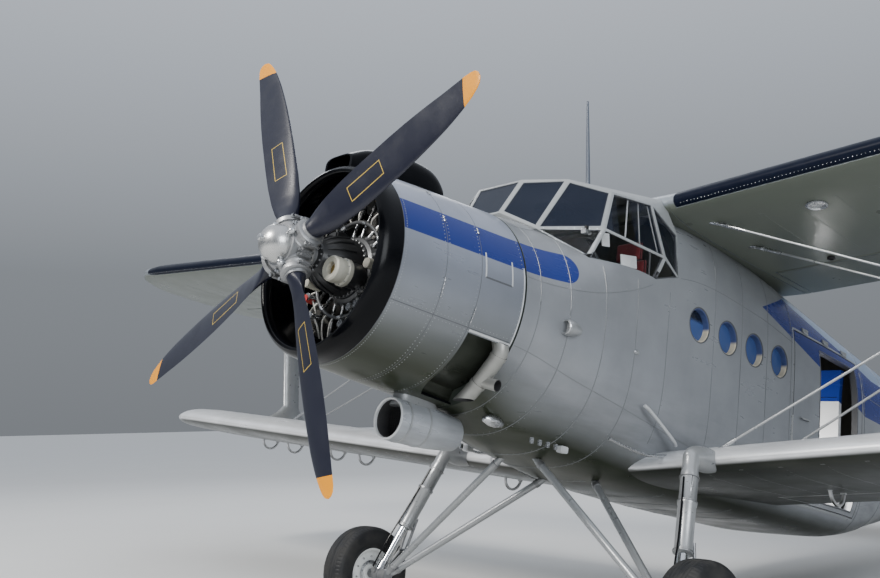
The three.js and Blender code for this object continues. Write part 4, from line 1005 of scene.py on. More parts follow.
def cowlSkinSolid():
    nose = curveThrough([(r, y, 0) for r, y in cowl["outer"][:5]], 6)[:, :2]
    tail = [(r, y) for r, y in cowl["outer"][5:]]
    back = [(r, y) for r, y in cowl["inner"][:4]]
    lip = curveThrough([(r, y, 0) for r, y in [*cowl["inner"][4:], cowl["outer"][0]]], 5)[:, :2]
    profile = [*map(tuple, nose), *tail, *back, *map(tuple, lip[:-1]), tuple(nose[0])]
    ring = Form().lathe(profile, cowl["sides"]).solid()
    rear = 1.53
    rings = []
    for a in spread(*cowl["bay"]["angles"], 24):
        lead = cowl["bay"]["front"] + 0.10 * max(0, (a - 150) / 18) ** 2
        rings.append([around(r, y, a) for r, y in ((0.60, lead), (0.95, lead), (0.95, rear), (0.60, rear))])
    return carve(ring, [Form().loft(rings).solid()])


cowling = cowlSkinSolid()
for polygon in cowling.data.polygons:
    # black lip, and the inside painted black as well, painted shade within the ring
    x, y, z = polygon.center
    inside = math.hypot(x, z) < np.interp(y, cowlStations, cowlRadii) - 0.008
    polygon.material_index = int(y < cowl["lip"] or inside)
dress(cowling, "cowling_skin", "airframe", [cowlSkin, "gloss black paint"], "engine_cowling")

# Recessed panel in the exhaust bay, its silver painted dark as painted shade, darker still towards the bottom
liner = Form()
depth = cowl["liner"]["depth"]
first, last = cowl["bay"]["angles"]
rows = []
for a in spread(first - 3, last + 3, 36):
    row = []
    for y in spread(cowl["bay"]["front"] - 0.012, cowl["liner"]["rear"], 12):
        # full depth away from its front and its two long edges
        edge = min(1, (a - first + 3) / 5, (last + 3 - a) / 5, (y - cowl["bay"]["front"] + 0.012) / 0.11)
        place = cowlPoint(a, min(y, 1.46), -0.026 - depth * math.sin(edge * math.pi / 2))
        row.append((place[0], y, place[2]))
    rows.append(row)
liner.loft(rows, closed=False, caps=False)
shadedBaySkin = silverFinish("bay panel, painted shade", light=(0.085, 0.095, 0.080), fade=(0.018, 0.021, 0.015))
linerThing = liner.solid()
thick = linerThing.modifiers.new("wall", "SOLIDIFY")
thick.thickness = 0.002
dress(linerThing, "exhaust_bay_panel", "airframe", [shadedBaySkin])

seams = Form()


def cowlStrip(path, width, height, slot=0):
    # a strip along places of the cowling, given by angle and station
    ribbon(seams, [cowlPoint(a, y) for a, y in path], [cowlNormal(a) for a, y in path], width, height, slot)


for y in cowl["ringSeams"]:
    for start, stop in [(-180, 180)] if y < cowl["bay"]["front"] else [(-180, first), (last, 180)]:
        cowlStrip([(a, y) for a in spread(start, stop, 120)], 0.0045, 0.0004)
for angle in cowl["longSeams"]:
    cowlStrip([(angle, y) for y in spread(0.38, 1.455, 30)], 0.006, 0.0005)
low, high = cowl["hatch"]["angles"]
start, stop = cowl["hatch"]["stations"]
for side in (1, -1):
    outline = [(low, start), (high, start), (high, stop), (low, stop), (low, start)]
    # the front and rear edges of each hatch in pale paint as a painted highlight, and one long edge in sealant
    for slot, ((a0, y0), (a1, y1)) in zip((1, 0, 1), zip(outline, outline[1:])):
        cowlStrip([(side * (a0 + (a1 - a0) * t), y0 + (y1 - y0) * t) for t in spread(0, 1, 8)], 0.013, 0.0009,
                  slot)
    # bright strips: over the bay's upper edge and along the rear edge, their pale paint a painted highlight
    edge = [cowlPoint(side * (first - 1.3), y) for y in spread(cowl["bay"]["front"], 1.455, 16)]
    ribbon(seams, edge, [cowlNormal(side * first)] * len(edge), 0.016, 0.0014, 1)
    cowlStrip([(side * a, 1.452) for a in spread(74, 116, 40)], 0.011, 0.0012, 1)
dress(seams, "cowling_seams", "airframe", ["seam sealant", "pale trim and edge highlight"])

rivets = Form()
for y, step in ((0.395, 1.6), (0.715, 2.2), (0.755, 2.2), (1.025, 2.2), (1.435, 2.4)):
    for a in np.arange(-180, 180, step):
        if y > cowl["bay"]["front"] and first - 1 < a < last + 1:
            continue
        studs(rivets, [cowlPoint(a, y)], [cowlNormal(a)], 0.0042, 0.0012)
for angle in cowl["longSeams"]:
    for shift in (-1.6, 1.6):
        for y in np.arange(0.41, 1.44, 0.032):
            studs(rivets, [cowlPoint(angle + shift, y)], [cowlNormal(angle)], 0.004, 0.0012)
dress(rivets, "cowling_rivets", "airframe", ["strut silver"], crease=60)

latches = Form()
# first and last angle, station: knuckles of a long pin along the seam
for start, stop, y in ((95, 106, 0.735), (104, 113, 1.045), (58, 62, 0.735), (58, 62, 1.045), (34, 38, 0.735)):
    for side in (1, -1):
        for i, angle in enumerate(np.arange(start, stop, 1.1)):
            run = [cowlPoint(side * (angle + t), y, 0.004) for t in (0, 0.45, 0.95)]
            latches.tube(run, 0.0065 if i % 2 else 0.0045, 12, i % 2)
dress(latches, "cowling_latches", "airframe", ["strut silver", "bright steel"])
print("cowling made")

# Nine-cylinder radial engine
engine = {
    "cylinders": 9,
    "station": 0.700,
    "finPitch": 0.0085,
    "barrel": (0.300, 0.465, 0.098, 0.080),
    "head": (0.478, 0.605, 0.114, 0.092),
    "ringRadius": 0.345,
    "ringStation": 0.475,
}


def finned(start, stop, outer, inner, pitch):
    # radius and height of fins, thin at their edges
    profile = []
    for h in np.arange(start, stop - pitch, pitch):
        profile += [(inner, h), (inner, h + pitch * 0.45), (outer, h + pitch * 0.62), (outer, h + pitch * 0.85)]
    return [*profile, (inner, stop)]


def cylinderForm():
    one = Form()
    barrel = [(0.0, 0.20), (0.082, 0.20), (0.082, 0.26), (0.096, 0.262), (0.096, 0.276), (0.080, 0.278)]
    one.lathe([*barrel, *finned(*engine["barrel"], engine["finPitch"]), (0.080, 0.47)], 30, 0, "Z")
    head = finned(*engine["head"], engine["finPitch"] * 1.15)
    crown = [(0.092, 0.615), (0.070, 0.636), (0.040, 0.646), (0.0, 0.648)]
    one.lathe([(0.080, 0.470), *head, *crown], 30, 1, "Z")
    for side in (-1, 1):
        tower = Matrix.Rotation(math.radians(side * 16), 4, "Y")
        one.block((side * 0.068 - 0.034, -0.105, 0.575), (side * 0.068 + 0.034, 0.055, 0.642), 1, tower, 0.014)
        one.block((side * 0.076 - 0.030, -0.100, 0.636), (side * 0.076 + 0.030, 0.046, 0.656), 3, tower, 0.008)
        one.tube([(side * 0.068, -0.090, 0.585), (side * 0.052, -0.175, 0.300), (side * 0.050, -0.185, 0.240)],
                 [0.0135, 0.0125, 0.0135], 12, 2)
        one.tube([(side * 0.061, -0.125, 0.47), (side * 0.0605, -0.129, 0.455)], 0.018, 12, 4)
        one.tube([(side * 0.074, 0.04, 0.56), (side * 0.10, 0.16, 0.53), (side * 0.09, 0.25, 0.44)],
                 0.030, 12, 3)
        corners = [
            np.array((side * 0.076 + u, -0.028 + v, 0.657)) for u in (-0.02, 0.02) for v in (-0.055, 0.055)
        ]
        studs(one, corners, [(0, 0, 1)] * 4, 0.006, 0.006, 4)
        one.tube([(side * 0.020, -0.088, 0.555), (side * 0.024, -0.150, 0.565)], [0.012, 0.009], 10, 4)
        one.tube([(side * 0.020, -0.088, 0.555), (side * 0.021, -0.105, 0.557)], 0.016, 6, 5)
    return one


single = cylinderForm()
cylinders = Form()
for i in range(engine["cylinders"]):
    cylinders.take(single, 360 / engine["cylinders"] * i, (0, engine["station"], 0))
crank = Form()
crank.lathe([
    (0.0, 0.4505), (0.205, 0.4505), (0.214, 0.462), (0.214, 0.478), (0.236, 0.490), (0.246, 0.520),
    (0.262, 0.540), (0.262, 0.640), (0.270, 0.645), (0.270, 0.665), (0.262, 0.670), (0.262, 0.900),
    (0.300, 0.960), (0.300, 1.120), (0.230, 1.180), (0.230, 1.4747), (0.0, 1.4747),
], 72, 0)
studs(crank, ringOf(0.208, 0.452, 30), [(0, -1, 0)] * 30, 0.009, 0.012, 1)
for start, end in zip(ringOf(0.236, 0.500, 18, 10), ringOf(0.262, 0.530, 18, 10)):
    crank.tube([start, end], 0.016, 10, 1)
dress(cylinders, "engine_cylinders", "airframe", [
    "cylinder steel", "finned alloy", "bright steel", "crankcase paint",
    "hub steel", "brass fitting",
], crease=40)
dress(crank, "engine_crankcase", "airframe", ["crankcase paint", "hub steel"], "engine")

# Ignition harness: a braided ring with two leads to each cylinder
harness = Form()
harness.tube([around(engine["ringRadius"], engine["ringStation"], a) for a in spread(0, 360, 90)], 0.013, 12, 4)
for i in range(engine["cylinders"]):
    turn = 360 / engine["cylinders"] * i
    for side in (-1, 1):
        lean = side * dice.uniform(0.9, 1.15)
        lead = curveThrough([
            (lean * 0.045, engine["ringStation"], 0.343), (lean * 0.052, 0.465, 0.40),
            (lean * 0.040, 0.500, 0.50), (side * 0.024, engine["station"] - 0.150, 0.566),
        ], 7)
        harness.tube(rotate(lead, turn), 0.0062, 8, 0)
        harness.tube(rotate([(side * 0.024, 0.545, 0.565), (side * 0.024, 0.562, 0.566)], turn), 0.011, 8, 1)
    clip = [(x, engine["ringStation"], engine["ringRadius"]) for x in (-0.02, 0.02)]
    harness.tube(rotate(clip, turn + 20), 0.0175, 10, 2)
for angle, reach in ((128, 0.32), (141, 0.37), (152, 0.34), (-118, 0.38), (-140, 0.42), (167, 0.42)):
    base = around(reach, 0.42, angle)
    harness.tube([base, base + (0.0, 0.07, 0.0)], 0.022, 14, 2)
    harness.tube([base - (0.0, 0.012, 0.0), base], 0.030, 6, 2)
    bend = [base + (0, 0.03, 0), base + (0.03, 0.05, -0.07), base + (0.01, 0.10, -0.14)]
    harness.tube(curveThrough(bend, 6), 0.008, 8, 0)
harness.tube([around(0.395, y, -119) for y in (0.40, 0.47)], 0.028, 14, 3)
dress(harness, "engine_harness", "airframe", [
    "harness braid", "brass fitting", "bright steel", "red paint", "crankcase paint",
], crease=50)

# Reduction gear case with its studs and the drum of the speed governor beside it
case = Form()
case.lathe([
    (0.0, 0.160), (0.098, 0.160), (0.110, 0.164), (0.118, 0.176), (0.121, 0.200), (0.150, 0.238),
    (0.176, 0.290), (0.190, 0.340), (0.200, 0.385), (0.203, 0.420), (0.205, 0.428), (0.205, 0.4497),
    (0.0, 0.4497),
], 72, 0)
for i in range(16):
    rib = [around(r, y, 22.5 * i) for r, y in ((0.124, 0.205), (0.156, 0.240), (0.181, 0.290), (0.203, 0.385))]
    case.tube(rib, [0.006, 0.009, 0.010, 0.009], 8, 0)
studs(case, ringOf(0.108, 0.162, 16), [(0, -1, 0)] * 16, 0.007, 0.010, 1)
governor = np.array((0.215, 0.0, -0.105))
case.lathe([
    (0.0, 0.215), (0.042, 0.213), (0.044, 0.178), (0.078, 0.170), (0.088, 0.180), (0.090, 0.225),
    (0.084, 0.230), (0.084, 0.262), (0.096, 0.270), (0.096, 0.300), (0.0, 0.301),
], 48, 2, at=governor)
case.lathe([(0.0, 0.299), (0.088, 0.299), (0.088, 0.400), (0.070, 0.430), (0.0, 0.430)], 48, 0, at=governor)
case.lathe([(0.0, 0.214), (0.041, 0.2125)], 30, 3, at=governor)
studs(case, governor + ringOf(0.088, 0.268, 10), [(0, -1, 0)] * 10, 0.006, 0.008, 1)
case.lathe([(0.0, 0.395), (0.034, 0.395), (0.037, 0.402), (0.037, 0.445), (0.0, 0.445)], 28, 2,
           at=(0.300, 0, -0.012))
case.lathe([(0.0, 0.30), (0.030, 0.30), (0.034, 0.308), (0.034, 0.42), (0.0, 0.42)], 28, 2,
           at=(-0.215, 0, -0.12))
case.block((-0.05, 0.30, 0.170), (0.05, 0.43, 0.222), 0, None, 0.012)
dress(case, "gear_case_shell", "airframe", [
    "gear case paint", "hub steel", "governor paint", "brass fitting",
], "gear_case", crease=38)
print("engine made")

# Propeller hub: dome, body, four clamps with their bolted collars
hub = {"phase": bladePaint["phase"], "clampRadius": 0.092, "dome": -0.114, "domeRadius": 0.131}
hubForm = Form()
dome = hub["dome"]
quarter = [around(hub["domeRadius"], 0, a) for a in spread(0, 98, 18)]
hubForm.lathe([(side, dome - ahead) for side, y, ahead in quarter], 72, 1)
hubForm.lathe([(0.0, dome - 0.158), (0.018, dome - 0.157), (0.023, dome - 0.152), (0.024, dome - 0.126)], 32, 2)
hubForm.lathe([
    (0.128, dome + 0.012), (0.145, dome + 0.014), (0.149, dome + 0.018), (0.150, -0.096), (0.150, 0.084),
    (0.144, 0.092), (0.096, 0.108), (0.074, 0.112), (0.072, 0.1597), (0.0, 0.1597),
], 72, 0)
r = hub["clampRadius"]
for i in range(4):
    one = Form()
    one.lathe([
        (0.0, 0.085), (r, 0.085), (r + 0.006, 0.110), (r + 0.014, 0.116), (r + 0.014, 0.140),
        (r + 0.004, 0.146), (r - 0.004, 0.172), (r + 0.008, 0.176), (r + 0.010, 0.184), (r + 0.010, 0.206),
        (r + 0.004, 0.212), (r - 0.016, 0.216), (r - 0.020, 0.234), (0.0, 0.234),
    ], 44, 0, "Z")
    for side in (-1, 1):
        one.block((side * 0.108 - 0.017, -0.044, 0.112), (side * 0.108 + 0.017, 0.044, 0.148), 0, None, 0.006)
        one.block((side * 0.104 - 0.015, -0.036, 0.178), (side * 0.104 + 0.015, 0.036, 0.208), 0, None, 0.006)
        for z, reach in ((0.130, 0.110), (0.193, 0.106)):
            for y in (-0.046, -0.038):
                one.tube([(side * reach, y - 0.010, z), (side * reach, y, z)], 0.0115, 6, 2)
            one.tube([(side * reach, 0.036, z), (side * reach, 0.056, z)], 0.0115, 6, 2)
    one.ball((0, -0.112, 0.150), (0.024, 0.030, 0.030), 2, 14)
    hubForm.take(one, hub["phase"] + 90 * i)
brushed = Finish("dome alloy")
turning = brushed.noise(3, 3, stretch=(1, 60, 1))
domeAlloy = brushed.surface(
    baseColor=brushed.blendColour(brushed.noise(12, 5), (0.52, 0.52, 0.515), (0.40, 0.40, 0.395)),
    metallic=0.9,
    roughness=brushed.spreadOut(turning, 0.3, 0.7, 0.24, 0.34),
    normal=brushed.bump(turning, 0.0002, 0.4),
)
dress(hubForm, "propeller_hub_body", "propeller", ["hub steel", domeAlloy, "bright steel"],
      "propeller_hub", crease=36)

# Blades: a wide, round-tipped plan form with a cambered section
blades = {
    # radius, chord, thickness, pitch
    "rows": [
        (0.2353, 0.130, 0.128, 28), (0.270, 0.150, 0.110, 28), (0.330, 0.186, 0.084, 27),
        (0.430, 0.222, 0.062, 24), (0.600, 0.256, 0.047, 19), (0.760, 0.268, 0.039, 16),
        (0.900, 0.272, 0.034, 14), (1.050, 0.271, 0.029, 13), (1.200, 0.262, 0.026, 12),
        (1.330, 0.247, 0.023, 11), (1.450, 0.226, 0.021, 10), (1.600, 0.188, 0.017, 9),
        (1.700, 0.152, 0.014, 9), (1.750, 0.124, 0.011, 8), (1.783, 0.088, 0.009, 8), (1.7985, 0.036, 0.005, 8),
    ],
    "points": 28,
    "tipShift": -0.030,
}


def bladeForm():
    columns = list(zip(*blades["rows"]))
    radii = [*spread(0.2353, 0.5, 16), *spread(0.5, 1.6, 22)[1:], *spread(1.6, 1.7985, 22)[1:]]
    rings = []
    for radius in radii:
        chord, thick, pitch = (float(np.interp(radius, columns[0], column)) for column in columns[1:])
        blend = min(1, max(0, (radius - 0.25) / 0.17))
        ring = []
        shift = blades["tipShift"] * max(0, (radius - 1.45) / 0.35) ** 2
        for k in range(blades["points"]):
            a = 2 * math.pi * k / blades["points"]
            c, s = math.cos(a), math.sin(a)
            oval = s * thick / 2
            foil = float(thicknessAt((1 - c) / 2, 1.0)) * thick * (1.25 if s > 0 else -0.75)
            ring.append((c * chord / 2 + shift, oval + (foil - oval) * blend, radius))
        rings.append(rotate(ring, pitch, "Z"))
    return Form().loft(rings)


for i in range(4):
    blade = Form().take(bladeForm(), hub["phase"] + 90 * i)
    dress(blade, f"propeller_blade_{i + 1}_skin", "propeller", [bladeFinish(i)],
          f"propeller_blade_{i + 1}", crease=50)
print("propeller made")

# Wings and tail surfaces, split along their hinge lines
pinRadius = 0.014
running = 0.009      # clearance round what turns in a pocket


def hingeOf(chord, low, high, swing):
    half = float(thicknessAt(wings["hingeShare"], wings["ratio"])) * chord
    return {
        "y": wings["hingeShare"] * chord,
        "z": float(camberAt(wings["hingeShare"], wings["camber"])) * chord,
        "low": low, "high": high, "half": half, "nose": half - 0.003, "swing": swing,
    }


def pocketReach(hinge):
    # radius of the round hollow that a hinged surface turns in
    return hinge["half"] / math.cos(math.radians(hinge["swing"]) / 2) + running + 0.002


def pocketCutters(hinge):
    back = hinge["half"] * math.tan(math.radians(hinge["swing"]) / 2) + running
    start, stop, y, z = hinge["low"], hinge["high"], hinge["y"], hinge["z"]
    return [blockCutter((start, y - back, -1), (stop, y + 3, 1)),
            barCutter((start, y, z), (stop, y, z), pocketReach(hinge))]


def movingPart(surface, hinge):
    start, stop = hinge["low"] + running, hinge["high"] - running
    y, z = hinge["y"], hinge["z"]
    zone = carve(blockCutter((start, y, -1), (stop, y + 3, 1)), [
        barCutter((start, y, z), (stop, y, z), hinge["nose"]),
    ], "UNION")
    return carve(surface, [zone], "INTERSECT")


def joinForm(thing, form, place=None):
    # adds loose parts to a finished solid
    extra = form.solid()
    if place is not None:
        placedSolid(extra, place)
    work = bmesh.new()
    work.from_mesh(thing.data)
    work.from_mesh(extra.data)
    work.to_mesh(thing.data)
    work.free()
    bpy.data.objects.remove(extra)
    return thing


upperFlap = hingeOf(2.4, 0.860, 5.180, 40)
aileron = hingeOf(2.4, 5.200, 8.240, 30)
lowerFlap = hingeOf(2.0, 1.120, 6.330, 40)
slat = {
    "low": 0.860, "high": 8.470, "depth": 0.372, "lip": (0.056, -0.016),
    "rails": (1.70, 4.50, 7.30),
}


def slatZone(grow=0.0):
    zone = blockCutter((slat["low"] + grow, -0.05, -0.4), (slat["high"] - grow, slat["depth"] - grow, 0.4))
    y, z = slat["lip"]
    lip = grow * 4 / 3
    return carve(zone, [blockCutter((slat["low"] - 1, y - lip, -1), (slat["high"] + 1, 1, z + lip))])


def pinForm(*hinges):
    # a stub at both ends of each surface that turns
    form = Form()
    for hinge in hinges:
        y, z = hinge["y"], hinge["z"]
        for x in (hinge["low"] - 0.001, hinge["high"] - 0.0087):
            form.tube([(x, y, z), (x + 0.0097, y, z)], pinRadius, 20)
    return form


def railForm(gap):
    form = Form()
    for x in slat["rails"]:
        form.block((x - 0.008 - gap, 0.012, -0.024 - gap), (x + 0.008 + gap, 0.262 + gap, 0.004 + gap))
    return form


def buildUpper(side, hand):
    place = wingFrame("upper", side)
    fixed = carve(wingSolid("upper"), pocketCutters(upperFlap))
    carve(fixed, pocketCutters(aileron))
    zone = carve(slatZone(), [moved(wingSolid("upper"), 0, 0.046, -0.014)])
    carve(fixed, [zone, railForm(0.0003).solid()])
    placedSolid(fixed, place)
    carve(fixed, [cabinRoom(), centreSlab(0.0003)])
    joinForm(fixed, pinForm(upperFlap, aileron), place)
    dress(fixed, f"upper_wing_{hand}_skin", "airframe", [upperSkinShadedBelow], f"upper_wing_{hand}")
    for label, hinge in (("upper_flap", upperFlap), ("aileron", aileron)):
        part = placedSolid(movingPart(wingSolid("upper"), hinge), place)
        dress(part, f"{label}_{hand}_skin", f"{label}_{hand}", [upperSkinShadedBelow], f"{label}_{hand}")
    nose = carve(wingSolid("upper", 0, 40), [slatZone(0.006)], "INTERSECT")
    carve(nose, [moved(wingSolid("upper"), 0, 0.034, -0.004),
                 moved(wingSolid("upper", 0.0003), 0, 0.046, -0.014)])
    placedSolid(nose, place)
    joinForm(nose, railForm(0), place)
    dress(nose, f"slat_{hand}_skin", f"slat_{hand}", [slatPaint], f"slat_{hand}")


# Hoops of the flap brackets, under the lower wing ahead of the hinge line
hoops = {
    "stations": (1.72, 4.15, 4.73, 5.67, 6.25), "middle": 1.215, "reach": 0.116, "top": -0.020,
    "root": -0.045, "thick": 0.0120,
}


def hoopForm():
    form = Form()
    reach, middle, root, thick = hoops["reach"], hoops["middle"], hoops["root"], hoops["thick"]
    section = ((-1, -0.7), (-0.7, -1), (0.7, -1), (1, -0.7), (1, 0.7), (0.7, 1), (-0.7, 1), (-1, 0.7))
    bend = [(reach * math.cos(a), root - reach * math.sin(a)) for a in spread(0, math.pi, 28)]
    path = [(reach, hoops["top"]), *bend, (-reach, hoops["top"])]
    for x in hoops["stations"]:
        rings = []
        for i, (y, z) in enumerate(path):
            out = np.array((y, z - root if 0 < i < len(path) - 1 else 0.0))
            out *= thick / np.linalg.norm(out)
            rings.append([(x + across * thick, middle + y + out[0] * depth, z + out[1] * depth)
                          for across, depth in section])
        form.loft(rings)
        for end in (-1, 1):
            form.block((x - 0.020, middle + end * reach - 0.022, -0.0625),
                       (x + 0.020, middle + end * reach + 0.014, -0.040), 0, None, 0.003)
    return form


def buildLower(side, hand):
    place = wingFrame("lower", side)
    fixed = carve(wingSolid("lower"), pocketCutters(lowerFlap))
    placedSolid(fixed, place)
    carve(fixed, [cabinRoom()])
    joinForm(fixed, pinForm(lowerFlap), place)
    joinForm(fixed, hoopForm(), place)
    dress(fixed, f"lower_wing_{hand}_skin", "airframe", [lowerSkinSunAndShade], f"lower_wing_{hand}")
    part = placedSolid(movingPart(wingSolid("lower"), lowerFlap), place)
    dress(part, f"lower_flap_{hand}_skin", f"lower_flap_{hand}", [lowerSkinSunAndShade],
          f"lower_flap_{hand}")


slatFinish = Finish("slat paint")
slatSpot = slatFinish.noise(11, 5)
slatPaint = slatFinish.surface(
    baseColor=slatFinish.blendColour(slatSpot, (0.003, 0.0045, 0.011), (0.006, 0.009, 0.020)),
    roughness=slatFinish.spreadOut(slatSpot, 0.3, 0.7, 0.30, 0.42),
    specularIORLevel=0.06,
    coatWeight=0.0,
    coatRoughness=0.08,
    normal=slatFinish.bump(slatFinish.noise(4, 3), 0.002, 0.3),
)
bothHands(buildUpper)
bothHands(buildLower)
dress(centreSlab(0), "upper_wing_centre_skin", "airframe", [upperSkinShadedBelow], "upper_wing_centre")
print("wings made")

# Tail surfaces
tail = {
    "ratio": 0.10,
    "hinge": 11.430,
    "height": 0.560,
    "plane": [(0.060, 10.330, 12.110), (2.900, 10.480, 12.110), (3.330, 10.590, 12.060),
              (3.540, 10.790, 11.930), (3.600, 11.080, 11.720)],
    "fin": [(-0.040, 10.060, 12.200), (0.560, 10.060, 12.330), (1.400, 10.400, 12.330), (2.300, 10.770, 12.200),
            (2.700, 10.980, 12.020), (2.880, 11.180, 11.860), (2.940, 11.380, 11.700)],
    "ribPitch": 0.24,
    "sag": 0.0018,
    "strut": ((0.100, 10.900, 0.060), (2.050, 10.900, 0.560)),
    "strutSection": (0.034, 0.019),      # half chord, half thickness
}
elevatorHinge = {"y": tail["hinge"], "z": 0, "low": 0.050, "high": 3.700, "half": 0.072, "nose": 0.044,
                 "swing": 35}
rudderHinge = {"y": tail["hinge"], "z": 0, "low": -0.500, "high": 3.500, "half": 0.088, "nose": 0.040,
               "swing": 28}


def tailSolid(outline, grow=0.0, steps=26):
    columns = list(zip(*outline))
    spans = []
    for a, b in zip(columns[0], columns[0][1:]):
        count = max(4, round((b - a) / tail["ribPitch"] * 4))
        spans += spread(a, b, count)[:-1]
    spans.append(columns[0][-1])
    rings = []
    for span in spans:
        leading, trailing = (float(np.interp(span, columns[0], column)) for column in columns[1:])
        between = math.sin(math.pi * (span / tail["ribPitch"] % 1)) ** 2
        sag = tail["sag"] * between if not grow and span < columns[0][-3] else 0
        rings.append(ribRing(span, leading, trailing, tail["ratio"], 0.0, steps, grow, sag))
    return Form().loft(rings).solid()


def lugForm(hinge, stations):
    # arms and pins on the fixed side of a hinge line
    form = Form()
    y, z, reach = hinge["y"], hinge["z"], pocketReach(hinge)
    for x in stations:
        form.block((x - 0.007, y - reach - 0.03, z - 0.020), (x + 0.007, y, z + 0.020), 0, None, 0.003)
        form.tube([(x - 0.007, y, z), (x + 0.007, y, z)], 0.024, 24)
        form.tube([(x - 0.0147, y, z), (x + 0.0147, y, z)], pinRadius, 20)
    return form


def slotCutters(hinge, stations):
    front, rear = hinge["y"] - pocketReach(hinge) - 0.03, hinge["y"] + 0.034
    return [blockCutter((x - 0.015, front, -0.4), (x + 0.015, rear, 0.4)) for x in stations]


# Turns a surface built flat, span along x, to stand on edge
standing = Matrix(((0, 0, -1, 0), (0, 1, 0, 0), (1, 0, 0, 0), (0, 0, 0, 1)))


def finCutter():
    return placedSolid(tailSolid(tail["fin"], 0.0004), standing)


def rudderRoom():
    points = [(x, tail["hinge"] + y, z) for z in (-0.2, 0.2) for x, y in
              ((-1, -0.2), (0.190, -0.2), (0.190, 0), (0.640, 1.0), (-1, 1.0))]
    return hullSolid(points)


def tailplaneFrame(side):
    return Matrix.Scale(side, 4, (1, 0, 0)) @ Matrix.Translation((0, 0, tail["height"]))


def buildTailplane(side, hand):
    place = tailplaneFrame(side)
    stations = (0.900, 3.000)
    fixed = carve(tailSolid(tail["plane"]), pocketCutters(elevatorHinge))
    placedSolid(fixed, place)
    carve(fixed, [boomRoom(), finCutter()])
    joinForm(fixed, lugForm(elevatorHinge, stations), place)
    dress(fixed, f"tailplane_{hand}_skin", "airframe", [tailSkin], f"tailplane_{hand}")
    part = movingPart(tailSolid(tail["plane"]), elevatorHinge)
    carve(part, [rudderRoom(), *slotCutters(elevatorHinge, stations)])
    placedSolid(part, place)
    dress(part, f"elevator_{hand}_skin", f"elevator_{hand}", [tailSkin], f"elevator_{hand}")


bothHands(buildTailplane)
finFixed = carve(tailSolid(tail["fin"]), pocketCutters(rudderHinge))
placedSolid(finFixed, standing)
carve(finFixed, [blockCutter((-0.5, 9.0, 0.5), (0.5, 11.46, 3.0))], "INTERSECT")
carve(finFixed, [boomRoom()])
joinForm(finFixed, lugForm(rudderHinge, (0.900, 2.300)), standing)
dress(finFixed, "fin_skin", "airframe", [tailSkin], "fin")
rudderPart = movingPart(tailSolid(tail["fin"]), rudderHinge)
carve(rudderPart, slotCutters(rudderHinge, (0.900, 2.300)))
placedSolid(rudderPart, standing)
dress(rudderPart, "rudder_skin", "rudder", [tailSkin], "rudder")
print("tail made")

# Air scoop over the cowling
scoop = {
    # station, half width, top, bottom
    "rows": [(0.250, 0.150, 0.770, 0.620), (0.420, 0.168, 0.860, 0.620), (0.700, 0.172, 0.925, 0.620),
             (0.980, 0.165, 0.925, 0.620), (1.140, 0.120, 0.850, 0.640), (1.190, 0.060, 0.790, 0.660)],
    "throat": [(0.20, 0.142, 0.762, 0.62), (0.30, 0.140, 0.790, 0.64), (0.44, 0.120, 0.790, 0.66)],
    "wall": 0.014,
    "square": 0.55,
}


def squareRing(count, power):
    # a rounded square of half width 1, as two rows of figures
    angles = np.arange(count) * 2 * math.pi / count
    return [np.sign(part) * np.abs(part) ** power for part in (np.cos(angles), np.sin(angles))]


def scoopRing(row, inset=0.0, count=56):
    station, half, top, bottom = row
    side, rise = squareRing(count, scoop["square"])
    height = (top - bottom) / 2 - inset
    return np.stack([(half - inset) * side, np.full(count, station), (top + bottom) / 2 + height * rise],
                    axis=1)


scoopBody = Form().loft([scoopRing(row) for row in curveThrough(scoop["rows"], 9)]).solid()
throat = Form().loft([scoopRing(row, scoop["wall"]) for row in scoop["throat"]]).solid()
carve(scoopBody, [throat, cowlBlank(0.0006), blockCutter((-1, 0, -0.2), (1, 1.4, 0.64))])
dress(scoopBody, "air_scoop_skin", "airframe", ["gloss black paint"], "air_scoop", crease=40)

# Oil cooler: tube, mouth rim in pale paint as a painted highlight, finned core, hanger; its inside and core are
# near black as painted shade
cooler = {
    "front": 1.020, "rear": 1.660, "z": -0.930, "radius": 0.150, "tail": 0.124,
    "saddle": (0.090, 0.195),      # half width and half length of its hanger
    "finPitch": (0.0125, 0.024),      # of the level and the upright fins
}
coolerForm = Form()
r, front, rear, tailEnd, z = (cooler[key] for key in ("radius", "front", "rear", "tail", "z"))
mouthRim = [(r - 0.016, front + 0.020), (r - 0.013, front + 0.006), (r - 0.006, front),
            (r + 0.001, front + 0.003), (r + 0.003, front + 0.012)]
outside = [(r + 0.003, front + 0.012), (r + 0.004, front + 0.10), (r + 0.005, front + 0.28),
           (r - 0.001, front + 0.42), (r - 0.013, front + 0.54), (tailEnd, rear), (tailEnd - 0.006, rear)]
inside = [(tailEnd - 0.006, rear), (r - 0.020, front + 0.44), (r - 0.012, front + 0.36), (0.0, front + 0.36),
          (0.0, front + 0.16), (r - 0.016, front + 0.16), (r - 0.016, front + 0.020)]
bands = [[(r + 0.003, y - 0.010), (r + 0.008, y - 0.008), (r + 0.008, y + 0.008), (r + 0.003, y + 0.010)]
         for y in (front + 0.10, front + 0.285)]
# the mouth rim is pale as a painted highlight; the inside and the fins are near black as painted shade
for profile, slot in ((mouthRim, 4), (outside, 0), (inside, 3), (bands[0], 2), (bands[1], 2)):
    coolerForm.lathe(profile, 72, slot, at=(0, 0, z))


def finReach(off):
    # half the length of a fin at a distance from the tube's middle
    return math.sqrt(max(0.0004, (r - 0.018) ** 2 - off ** 2))


